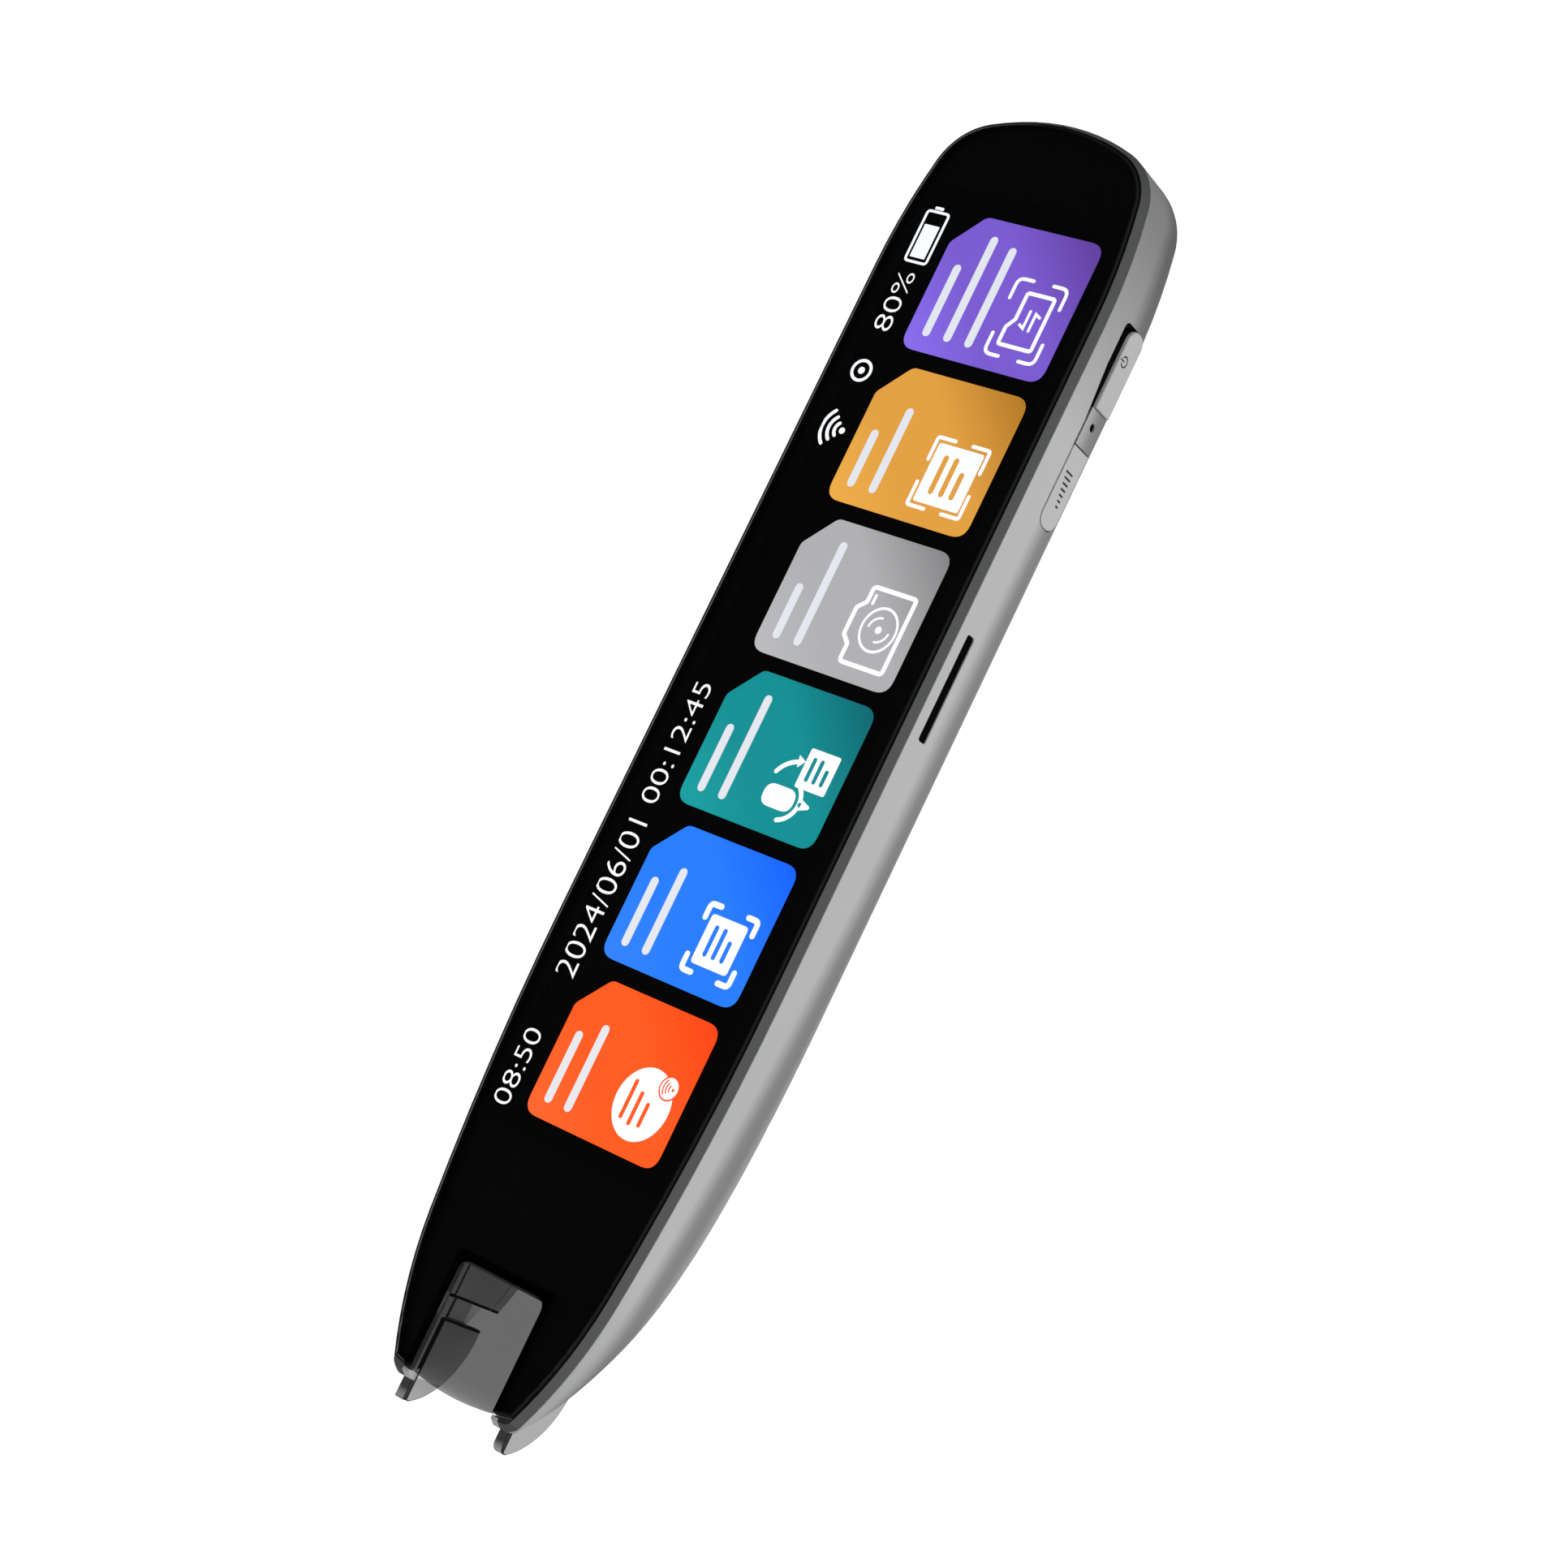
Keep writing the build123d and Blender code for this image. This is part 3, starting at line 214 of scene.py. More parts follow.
# the studio's light from straight below to straight above
STUDIO = ((0.0, 0.4), (0.45, 0.38), (0.55, 0.35), (0.7, 0.25), (0.82, 0.02))
VIEW_TARGET = Vector((-2.045, -4.491, 13.7)) * MM
VIEW_BACK = Vector((-0.1258, -0.56868, 0.81288))
VIEW_UP = Vector((0.89352, 0.29108, 0.34191))
VIEW_DISTANCE = 333.6 * MM
VIEW_LENS = 77.155
SENSOR_WIDTH = 36.0


def x_at(s):
    """The X of a place s millimetres from the nose end."""
    return NOSE_X + s * MM


def at(s, y, z):
    """A place s millimetres from the nose end and y across, at a height in metres."""
    return Vector((x_at(s), y * MM, z))


# ------------------------------ outlines, in millimetres
def arc(centre, radius, start, end, steps=10):
    """Points of an arc, from one angle to another in degrees."""
    points = []
    for i in range(steps + 1):
        turn = radians(start + (end - start) * i / steps)
        points.append((centre[0] + radius * cos(turn), centre[1] + radius * sin(turn)))
    return points


def disc(centre, radius, steps, flat=1.0):
    """A circle, or an ellipse that is flatter across than along."""
    points = arc(centre, radius, 0, 360 * (1 - 1 / steps), steps - 1)
    return [(x, centre[1] + (y - centre[1]) * flat) for x, y in points]


def bend(first, corner, last, steps):
    """Points of a smooth bend that starts and ends towards a corner."""
    shares = [k / steps for k in range(steps + 1)]
    return [tuple(first * (1 - t) ** 2 + corner * 2 * t * (1 - t) + last * t ** 2) for t in shares]


def bent(points, radius):
    """An open line whose inner corners are rounded."""
    line = [points[0]]
    for before, corner, after in zip(points, points[1:], points[2:]):
        here = Vector(corner)
        first = here + (Vector(before) - here).normalized() * radius
        last = here + (Vector(after) - here).normalized() * radius
        line += bend(first, here, last, 4)
    return line + [points[-1]]


def rounded(corners, radii):
    """A closed outline with every corner rounded by its own radius."""
    points = []
    count = len(corners)
    for i, corner in enumerate(corners):
        here = Vector(corner)
        before = (Vector(corners[i - 1]) - here).normalized()
        after = (Vector(corners[(i + 1) % count]) - here).normalized()
        reach = radii[i] / tan(before.angle(after) / 2)
        points += bend(here + before * reach, here, here + after * reach, 6)
    return points


def box_outline(low, high, radius):
    """A rectangle with rounded corners."""
    corners = ((low[0], low[1]), (high[0], low[1]), (high[0], high[1]), (low[0], high[1]))
    return rounded(corners, [radius] * 4)


def side_points(points, offset):
    """The line moved sideways by an offset, with mitred corners no longer than twice that."""
    moved = []
    for i, point in enumerate(points):
        here = Vector(point)
        before = (here - Vector(points[i - 1])).normalized() if i else None
        after = (Vector(points[i + 1]) - here).normalized() if i + 1 < len(points) else None
        before = before or after
        after = after or before
        normal = Vector((-before.y - after.y, before.x + after.x)).normalized()
        share = max(0.5, normal.dot(Vector((-before.y, before.x))))
        moved.append(tuple(here + normal * (offset / share)))
    return moved


def stroke(points, width):
    """Outline of a line of even width with round ends."""
    left = side_points(points, width / 2)
    right = side_points(points, -width / 2)
    outline = list(left)
    for end, other in ((points[-1], points[-2]), (points[0], points[1])):
        way = Vector(end) - Vector(other)
        turn = way.to_2d().angle_signed(Vector((1, 0))) * 180 / pi
        outline += arc(end, width / 2, turn + 90, turn - 90, 6)[1:-1]
        if end is points[-1]:
            outline += right[::-1]
    return outline


def frame_lines(outline, width):
    """Two outlines, the outer and the inner edge of a closed line of even width."""
    closed = [outline[-1]] + list(outline) + [outline[0]]
    outer = side_points(closed, width / 2)[1:-1]
    inner = side_points(closed, -width / 2)[1:-1]
    return [outer, inner]


def brackets(low, high, arms, width, radius):
    """The four corner marks of a scanning frame, with arms along and across."""
    loops = []
    for sx, x in ((1, low[0]), (-1, high[0])):
        for sy, y in ((1, low[1]), (-1, high[1])):
            line = bent([(x, y + sy * arms[1]), (x, y), (x + sx * arms[0], y)], radius)
            loops.append(stroke(line, width))
    return loops


# ------------------------------ pieces
def new_piece(name, mesh, material, body):
    """An object that moves with a body and has the given material."""
    piece = bpy.data.objects.new(name, mesh)
    bpy.context.scene.collection.objects.link(piece)
    mesh.materials.clear()
    mesh.materials.append(material)
    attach(piece, body)


def curve_mesh(name, data, matrix):
    """The mesh of a flat curve or text, placed and with its double points joined."""
    source = bpy.data.objects.new(name + "_source", data)
    bpy.context.scene.collection.objects.link(source)
    bpy.context.view_layer.update()
    mesh = bpy.data.meshes.new_from_object(source.evaluated_get(bpy.context.evaluated_depsgraph_get()))
    bpy.data.objects.remove(source)
    bpy.data.curves.remove(data)
    mesh.name = name
    mesh.transform(matrix)
    shape = bmesh.new()
    shape.from_mesh(mesh)
    bmesh.ops.remove_doubles(shape, verts=shape.verts, dist=1e-8)
    bmesh.ops.recalc_face_normals(shape, faces=shape.faces)
    shape.to_mesh(mesh)
    shape.free()
    return mesh


def plate_mesh(name, loops, thickness, matrix):
    """A flat plate filled between outlines in millimetres, about its own middle height."""
    data = bpy.data.curves.new(name, "CURVE")
    data.dimensions = "2D"
    data.fill_mode = "BOTH"
    data.extrude = thickness * MM / 2
    for loop in loops:
        spline = data.splines.new("POLY")
        spline.points.add(len(loop) - 1)
        for point, (s, y) in zip(spline.points, loop):
            point.co = (s * MM, y * MM, 0, 1)
        spline.use_cyclic_u = True
    return curve_mesh(name, data, matrix)


def add_plate(name, loops, bottom, thickness, material):
    """A plate that lies on the case, standing on a height in metres."""
    place = Matrix.Translation((NOSE_X, 0, bottom + thickness * MM / 2))
    new_piece(name, plate_mesh(name, loops, thickness, place), material, "case")


def picture_height(layer):
    """Height of a layer of the picture that the display shows."""
    return panel_high.z + (CLOSE + layer * LAYER) * MM


def picture(name, loops, layer, material):
    """Flat shapes in one layer of the picture."""
    add_plate(name, loops, picture_height(layer), SHEET, material)


def numbers(name, text, low, high, material):
    """Plain numbers set into a box of the status line, given by two corners in (s, y)."""
    data = bpy.data.curves.new(name, "FONT")
    data.body = text
    data.extrude = SHEET * MM / 2
    data.offset = NUMBER_SLIMMING
    mesh = curve_mesh(name, data, Matrix.Identity(4))
    xs = [v.co.x for v in mesh.vertices]
    ys = [v.co.y for v in mesh.vertices]
    scale_x = (high[0] - low[0]) * MM / (max(xs) - min(xs))
    scale_y = (high[1] - low[1]) * MM / (max(ys) - min(ys))
    corner = at(*low, picture_height(0) + SHEET * MM / 2)
    mesh.transform(Matrix.Translation((-min(xs), -min(ys), 0)))
    mesh.transform(Matrix.Diagonal((scale_x, scale_y, 1, 1)))
    mesh.transform(Matrix.Translation(corner))
    new_piece(name, mesh, material, "case")


# ------------------------------ materials
class Graph:
    """The nodes of a material or a world, with one short call for each."""

    def __init__(self, owner, output="OutputMaterial"):
        self.owner = owner
        owner.use_nodes = True
        self.tree = owner.node_tree
        self.tree.nodes.clear()
        self.output = self.node(output)

    def node(self, kind, inputs=None, **settings):
        made = self.tree.nodes.new("ShaderNode" + kind)
        for key, value in settings.items():
            setattr(made, key, value)
        for socket, value in (inputs or {}).items():
            self.feed(made.inputs[socket], value)
        return made

    def feed(self, socket, value):
        if isinstance(value, bpy.types.Node):
            value = value.outputs[0]
        if isinstance(value, bpy.types.NodeSocket):
            self.tree.links.new(value, socket)
        else:
            socket.default_value = value

    def math(self, operation, *values):
        made = self.node("Math", operation=operation)
        for socket, value in zip(made.inputs, values):
            self.feed(socket, value)
        return made.outputs[0]

    def split(self, vector):
        parts = self.node("SeparateXYZ", {0: vector})
        return parts.outputs[0], parts.outputs[1], parts.outputs[2]

    def place(self):
        return self.node("TexCoord").outputs["Object"]

    def axes(self):
        return self.split(self.place())

    def facing(self):
        return self.split(self.node("NewGeometry").outputs["Normal"])

    def noise(self, scale, detail=2.0, roughness=0.5, stretch=None):
        where = self.place()
        if stretch:
            where = self.node("Mapping", {"Vector": where, "Scale": stretch}).outputs[0]
        wanted = {"Vector": where, "Scale": scale, "Detail": detail, "Roughness": roughness}
        return self.node("TexNoise", wanted).outputs["Fac"]

    def ramp(self, factor, stops):
        """Colours along a factor: stops are (position, colour), or (position, level) for a grey."""
        made = self.node("ValToRGB", {"Fac": factor})
        while len(made.color_ramp.elements) < len(stops):
            made.color_ramp.elements.new(0.5)
        for element, (position, colour) in zip(made.color_ramp.elements, stops):
            element.position = position
            levels = colour if isinstance(colour, tuple) else (colour, colour, colour)
            element.color = (*levels, 1.0)
        return made.outputs[0]

    def chain(self, operation, values):
        joined = values[0]
        for value in values[1:]:
            joined = self.math(operation, joined, value)
        return joined

    def all_of(self, *tests):
        """One where every test is one."""
        return self.chain("MULTIPLY", tests)

    def any_of(self, *tests):
        """One where at least one test is one."""
        return self.chain("MAXIMUM", tests)

    def above(self, value, limit):
        return self.math("GREATER_THAN", value, limit)

    def below(self, value, limit):
        return self.math("LESS_THAN", value, limit)

    def within(self, value, low, high):
        return self.all_of(self.above(value, low), self.below(value, high))

    def along(self, x, start, end):
        """One between two places along the body, in millimetres from the nose end."""
        return self.within(x, x_at(start), x_at(end))

    def size(self, value):
        return self.math("ABSOLUTE", value)

    def longest_side(self, one, other):
        """The longest side of a triangle whose other two sides are square to each other."""
        squares = self.math("ADD", self.math("MULTIPLY", one, one), self.math("MULTIPLY", other, other))
        return self.math("SQRT", squares)

    def span(self, value, low, high, first, last):
        wanted = {"Value": value, "From Min": low, "From Max": high, "To Min": first, "To Max": last}
        return self.node("MapRange", wanted).outputs[0]

    def mix(self, mask, colours, other):
        return self.node("MixRGB", {0: mask, 1: colours, 2: other}).outputs[0]

    def paint(self, colours, mask, colour):
        """The colours with another one where the mask is one."""
        return self.mix(mask, colours, (*colour, 1))

    def darken(self, colours, tones):
        return self.node("MixRGB", {0: 1.0, 1: colours, 2: tones}, blend_type="MULTIPLY").outputs[0]

    def bump(self, height, strength, distance):
        wanted = {"Height": height, "Strength": strength, "Distance": distance}
        return self.node("Bump", wanted).outputs[0]

    def surface(self, shader):
        self.feed(self.output.inputs["Surface"], shader)
        return self.owner


def new_graph(name):
    """The graph of a new material."""
    return Graph(bpy.data.materials.new(name))


def shade(colour, factor):
    """The colour made lighter or darker."""
    return tuple(min(1.0, c * factor) for c in colour)


def grain_stops(colour, darker, lighter):
    """Stops of a ramp over a noise, round a colour."""
    return tuple(zip(NOISE, (shade(colour, darker), shade(colour, lighter))))


def srgb(red, green, blue):
    """A colour given as 0-255 display values, in linear light."""
    shares = (red / 255, green / 255, blue / 255)
    return tuple(c / 12.92 if c <= 0.04045 else ((c + 0.055) / 1.055) ** 2.4 for c in shares)


def moulded(name, colour, roughness, grain=5200.0, depth=0.006, metallic=0.0, changes=(), glow=None):
    """Plastic or paint: a fine even grain, a slow change of tone and slightly uneven gloss."""
    g = new_graph(name)
    slow = g.noise(scale=38.0)
    fine = g.noise(scale=grain, detail=3.0, roughness=0.6)
    tone = g.math("MULTIPLY_ADD", fine, FINE_SHARE, g.math("MULTIPLY", slow, 1 - FINE_SHARE))
    colours = g.ramp(tone, grain_stops(colour, 1 - TONE_SPREAD, 1 + TONE_SPREAD))
    gloss = g.span(fine, *NOISE, roughness - GLOSS_SPREAD, roughness + GLOSS_SPREAD)
    height = fine
    # the changes paint colours by place, painted shade and painted light among them
    for change in changes:
        colours, height = change(g, colours, height)
    wanted = {"Base Color": colours, "Roughness": gloss, "Metallic": metallic}
    wanted["Normal"] = g.bump(height, strength=0.35, distance=depth * MM)
    # the glow is painted light, an emission in the surface's own colours
    if glow:
        wanted["Emission Color"] = colours
        wanted["Emission Strength"] = glow(g)
    return g.surface(g.node("BsdfPrincipled", wanted))


def brushed(name, colour, roughness, stretch=(1, 40, 1)):
    """Rolled or brushed metal with fine lines."""
    g = new_graph(name)
    lines = g.noise(scale=900.0, detail=4.0, roughness=0.6, stretch=stretch)
    wanted = {"Base Color": g.ramp(lines, grain_stops(colour, 0.88, 1.06)), "Metallic": 1.0}
    wanted["Roughness"] = g.span(lines, *NOISE, roughness - 0.06, roughness + 0.08)
    wanted["Normal"] = g.bump(lines, strength=0.2, distance=0.004 * MM)
    return g.surface(g.node("BsdfPrincipled", wanted))


def matt_black(name, colour):
    """Black print or panel that lies behind the glass, so that only the glass shines."""
    g = new_graph(name)
    smears = g.noise(scale=60.0, detail=3.0)
    colours = g.ramp(smears, ((0.35, shade(colour, 0.8)), (0.7, shade(colour, 1.2))))
    wanted = {"Base Color": colours, "Specular IOR Level": 0.05}
    wanted["Roughness"] = g.span(smears, *NOISE, 0.6, 0.7)
    return g.surface(g.node("BsdfPrincipled", wanted))


def lit(name, stops, start, end, strength):
    """A glowing area of the display, whose colour runs along a line in (s, y)."""
    g = new_graph(name)
    first = at(*start, 0)
    way = at(*end, 0) - first
    scaled = way / way.length_squared
    product = g.node("VectorMath", {0: g.place(), 1: tuple(scaled)}, operation="DOT_PRODUCT")
    pixels = g.noise(scale=2600.0, detail=1.0)
    run = g.math("SUBTRACT", product.outputs["Value"], first.dot(scaled))
    colours = g.ramp(g.math("MULTIPLY_ADD", pixels, 0.02, run), stops)
    wanted = {"Base Color": (0.004, 0.004, 0.005, 1), "Roughness": 0.4, "Emission Color": colours}
    wanted["Emission Strength"] = strength
    return g.surface(g.node("BsdfPrincipled", wanted))


def clear_glass(name):
    """Cover glass: clear over the display, smoked over the scanning window and black round its edge, with a
    painted reflection line on the rounded edge and a painted highlight on the side away from the keys.
    """
    g = new_graph(name)
    x, y, _ = g.axes()
    over_window = g.all_of(
        g.below(x, x_at(WINDOW_END + SMOKE_MARGIN)),
        g.within(y, (WINDOW_LOW - SMOKE_MARGIN) * MM, (WINDOW_HIGH + SMOKE_MARGIN_HIGH) * MM),
    )
    from_rim = g.span(x, x_at(RIM_FADE[0]), x_at(RIM_FADE[1]), 0.0, 1.0)
    tints = ((0.0, RIM_SMOKE), (0.3, shade(SMOKE, 1.17)), (0.52, shade(SMOKE, 1.07)), (1.0, SMOKE))
    smoke = g.ramp(from_rim, tints)
    no_shadow = g.math("SUBTRACT", 1.0, g.node("LightPath").outputs["Is Shadow Ray"])
    through = g.node("BsdfTransparent", {"Color": g.mix(g.all_of(over_window, no_shadow), WHITE, smoke)})
    smears = g.noise(scale=90.0, detail=4.0, roughness=0.6)
    gloss = g.node("BsdfGlossy", {"Color": WHITE, "Roughness": g.span(smears, 0.4, 0.75, 0.03, 0.05)})
    share = g.math("MULTIPLY", g.node("Fresnel", {"IOR": 1.33}), GLASS_SHEEN)
    clear = g.node("MixShader", {0: share, 1: through, 2: gloss})
    # painted reflection on the rounded edge outside the window, and a painted highlight on the side away from
    # the keys
    _, away, upward = g.facing()
    edge = g.all_of(g.within(upward, *GLASS_EDGE), g.math("SUBTRACT", 1.0, over_window))
    on_back = g.span(away, *BACK_EDGE_FADE, 0.0, 1.0)
    black = g.node("BsdfDiffuse", {"Color": g.paint(g.ramp(upward, EDGE_REFLECTION), on_back, BACK_EDGE_HIGHLIGHT)})
    return g.surface(g.node("MixShader", {0: edge, 1: clear, 2: black}))


def clear_pane(g):
    """Clear plastic or glass, with its reflection."""
    through = g.node("BsdfTransparent", {"Color": (0.8, 0.82, 0.86, 1)})
    gloss = g.node("BsdfGlossy", {"Roughness": 0.02})
    return g.node("MixShader", {0: g.node("Fresnel", {"IOR": 1.45}), 1: through, 2: gloss})


def printed_pane(name, colour, centre, clear_radius):
    """A round window: black print with a clear middle, whose radius is in metres."""
    g = new_graph(name)
    offset = g.node("VectorMath", {0: g.place(), 1: tuple(centre)}, operation="SUBTRACT").outputs[0]
    across, along, _ = g.split(offset)
    ring = g.above(g.longest_side(across, along), clear_radius)
    smears = g.noise(scale=120.0, detail=3.0)
    wanted = {"Base Color": (*colour, 1), "Roughness": g.span(smears, *NOISE, 0.03, 0.07)}
    black = g.node("BsdfPrincipled", wanted)
    return g.surface(g.node("MixShader", {0: ring, 1: clear_pane(g), 2: black}))


def coated_lens(name):
    """Glass with the blue and violet sheen of its coating."""
    g = new_graph(name)
    facing = g.node("LayerWeight", {"Blend": 0.35}).outputs["Facing"]
    sheen = (
        (0.0, (0.02, 0.05, 0.13)),
        (0.45, (0.05, 0.16, 0.42)),
        (0.8, (0.12, 0.05, 0.25)),
        (1.0, (0.01, 0.01, 0.02)),
    )
    colours = g.ramp(g.math("MULTIPLY_ADD", g.noise(scale=300.0), 0.05, facing), sheen)
    wanted = {"Base Color": colours, "Roughness": 0.05, "Coat Weight": 1.0, "Coat Roughness": 0.02}
    return g.surface(g.node("BsdfPrincipled", wanted))


# ------------------------------ paint by place, mostly painted shade and painted light, for moulded()
def shade_inside(g, colours, height):
    """Painted shade: black where a face of the housing lies inside its skin: slots, gaps and grille holes."""
    x, y, z = g.axes()
    across = g.math("MAXIMUM", g.math("SUBTRACT", g.size(y), SIDE_MIDDLE * MM), 0.0)
    down = g.math("MINIMUM", g.math("SUBTRACT", z, ROLL_HEIGHT * MM), 0.0)
    below_skin = g.below(g.longest_side(across, down), (ROLL_RADIUS - SKIN) * MM)
    middle = g.all_of(g.along(x, *BACK_CUTS), g.within(y, -SIDE_MIDDLE * MM, SIDE_MIDDLE * MM))
    mask = g.all_of(below_skin, g.any_of(g.along(x, *SIDE_CUTS), middle))
    return g.paint(colours, mask, SHADE_BLACK), height


def shade_in_slot(g, colours, height):
    """Painted shade: black where a side of a key stands in its slot."""
    _, y, _ = g.axes()
    return g.paint(colours, g.above(y, volume_low.y + KEY_DEPTH * MM), SHADE_BLACK), height


def channel_light_and_shade(g, colours, height):
    """Painted light and shade: pale walls in the channel and the fins' pockets, and a painted shadow line at
    a pocket's end.
    """
    x, y, z = g.axes()
    walls = g.all_of(
        g.along(x, *PALE_WALLS),
        g.within(y, -PALE_HALF * MM, PALE_HALF * MM),
        g.below(z, glass_low.z + PALE_OVER * MM),
    )
    pocket_shadow = g.all_of(
        g.along(x, POCKET_END + SHADOW_ALONG[0], POCKET_END + SHADOW_ALONG[1]),
        g.within(g.size(y), (CHANNEL_HALF + SHADOW_ACROSS[0]) * MM, (CHANNEL_HALF + SHADOW_ACROSS[1]) * MM),
    )
    return g.paint(g.paint(colours, walls, CHANNEL_LIT), pocket_shadow, SHADE_BLACK), height


def bezel_shade(g, colours, height):
    """Painted shade: black on the bezel's inner faces and on its land on the keys' side; black also on its
    notch at the top end.
    """
    x, y, z = g.axes()
    nx, ny, nz = g.facing()
    outward = g.math("ADD", g.math("MULTIPLY", x, nx), g.math("MULTIPLY", y, ny))
    notch = g.all_of(
        g.above(x, TOP_X - NOTCH_LENGTH * MM),
        g.within(y, NOTCH_ACROSS[0] * MM, NOTCH_ACROSS[1] * MM),
    )
    inner = g.below(outward, -INWARD * MM)
    land = g.all_of(g.above(nz, SQUARE), g.above(z, LAND_HEIGHT * MM), g.below(y, LAND_SIDE * MM))
    return g.paint(colours, g.any_of(notch, inner, land), SHADE_BLACK), height


def rolled_shade(g, colours, height):
    """Painted shade: the shell is darker where its sides roll into the back, towards the top end and at the
    nose.
    """
    x, _, z = g.axes()
    raised = g.span(x, x_at(RISE_FADE[0]), x_at(RISE_FADE[1]), NOSE_RISE * MM, 0.0)
    share = g.span(g.math("SUBTRACT", z, raised), 0.0, cad_high.z, 0.0, 1.0)
    top = g.span(x, x_at(TOP_FADE[0]), x_at(TOP_FADE[1]), 1.0, TOP_END_SHADE)
    nose = g.span(x, x_at(NOSE_FADE[0]), x_at(NOSE_FADE[1]), NOSE_SHADE, 1.0)
    tones = g.darken(g.ramp(share, ROLL_SHADE), g.math("MINIMUM", top, nose))
    return g.darken(colours, tones), height


def painted_pocket_light(g):
    """Painted light: a glow on the outer wall of the fins' pockets, behind their heels, standing in for
    scattered light.
    """
    x, y, z = g.axes()
    inside = g.all_of(
        g.along(x, FIN_HEEL + HEEL_GAP, POCKET_END + POCKET_GAP),
        g.within(g.size(y), POCKET_SIDES[0] * MM, POCKET_SIDES[1] * MM),
        g.below(z, glass_low.z),
    )
    return g.math("MULTIPLY", inside, POCKET_GLOW)


def painted_arm_light(g):
    """The same painted glow on the arms behind the fins, which are darker."""
    return g.math("MULTIPLY", painted_pocket_light(g), ARM_SHARE)


def rim_shadow_and_highlight(g, colours, height):
    """A painted shadow line along the frame's lower edge, over the fins, and painted highlights on its
    corners at the nose.
    """
    x, y, z = g.axes()
    beside = g.within(g.size(y), (CHANNEL_HALF - RIM_LINE) * MM, (CHANNEL_HALF + RIM_LINE) * MM)
    over_fin = g.all_of(g.below(x, x_at(FIN_HEEL)), g.below(z, RIM_OVER_FIN * MM))
    over_wall = g.all_of(g.above(x, x_at(POCKET_END)), g.below(z, RIM_OVER_WALL * MM))
    line = g.all_of(beside, g.any_of(over_fin, over_wall))
    corner = g.all_of(g.below(x, x_at(NUB_LENGTH)), g.below(g.size(y), NUB_HALF * MM))
    return g.paint(g.paint(colours, line, SHADE_BLACK), corner, NUB_HIGHLIGHT), height


def fin_light_and_shade(g, colours, height):
    """Painted light and shade on the fins: dark faces towards the top and the nose, painted shadow lines at
    the creases and the heel, a painted highlight on the rounded tip and pale, lit inner faces.
    """
    x, y, z = g.axes()
    nx, ny, nz = g.facing()
    # painted light: the fins' inner faces are paler
    inner = g.all_of(
        g.within(y, -FIN_INNER * MM, FIN_INNER * MM),
        g.above(g.size(ny), SQUARE),
        g.above(x, x_at(FIN_INNER_START)),
    )
    # painted shade on faces towards the top and the nose, with a painted highlight on the rounded tip
    edge = g.above(g.math("MAXIMUM", nz, g.math("MULTIPLY", nx, -1.0)), FIN_EDGE_LEAN)
    from_tip = g.span(x, x_at(FIN_TIP + TIP_FADE[0]), x_at(FIN_TIP + TIP_FADE[1]), 0.0, 1.0)
    tip = g.ramp(from_tip, ((0.0, FIN_TOP_SHADE), (1.0, shade(TRIGGER, 0.85))))
    colours = g.mix(edge, g.paint(colours, inner, FIN_INSIDE_LIT), tip)
    # painted shadow lines along the upper crease and at the heel
    crease = g.all_of(g.below(ny, -CREASE_LEAN), g.any_of(g.above(z, FIN_CREASE * MM), g.above(ny, -SQUARE)))
    at_heel = g.along(x, FIN_HEEL + HEEL_LINE[0], FIN_HEEL + HEEL_LINE[1])
    heel = g.all_of(at_heel, g.below(ny, -HEEL_LEAN))
    return g.paint(colours, g.any_of(crease, heel), SHADE_BLACK), height


def dimple_ring(g, turn, reach, share, pitch, start):
    """One inside the dimples of a ring, from the turn and reach of a place round the grille."""
    step = radians(pitch)
    shifted = g.math("SUBTRACT", turn, radians(start) - step / 2 - 4 * pi)
    local = g.math("SUBTRACT", g.math("MODULO", shifted, step), step / 2)
    ahead = g.math("SUBTRACT", g.math("MULTIPLY", reach, g.math("COSINE", local)), share * GRILLE_RADIUS * MM)
    aside = g.math("MULTIPLY", reach, g.math("SINE", local))
    size = DIMPLE * GRILLE_RADIUS * MM
    return g.span(g.longest_side(ahead, aside), 0.75 * size, 1.1 * size, 1.0, 0.0)


def grille_dimples(g, colours, height):
    """Blind dimples of the speaker grille, moulded into the back around its open holes, as a bump with
    painted shade in each.
    """
    x, y, z = g.axes()
    across = g.math("SUBTRACT", x, SPEAKER_X)
    turn = g.math("ARCTAN2", y, across)
    reach = g.longest_side(across, y)
    dimples = g.any_of(*(dimple_ring(g, turn, reach, *ring) for ring in DIMPLE_RINGS))
    depth = g.math("MULTIPLY", dimples, g.below(z, DIMPLE_HEIGHT * MM))
    # painted shade in each dimple
    colours = g.paint(colours, g.math("MULTIPLY", depth, DIMPLE_SHADE), (0.01, 0.01, 0.01))
    return colours, g.math("SUBTRACT", height, g.math("MULTIPLY", depth, DIMPLE_DEPTH))


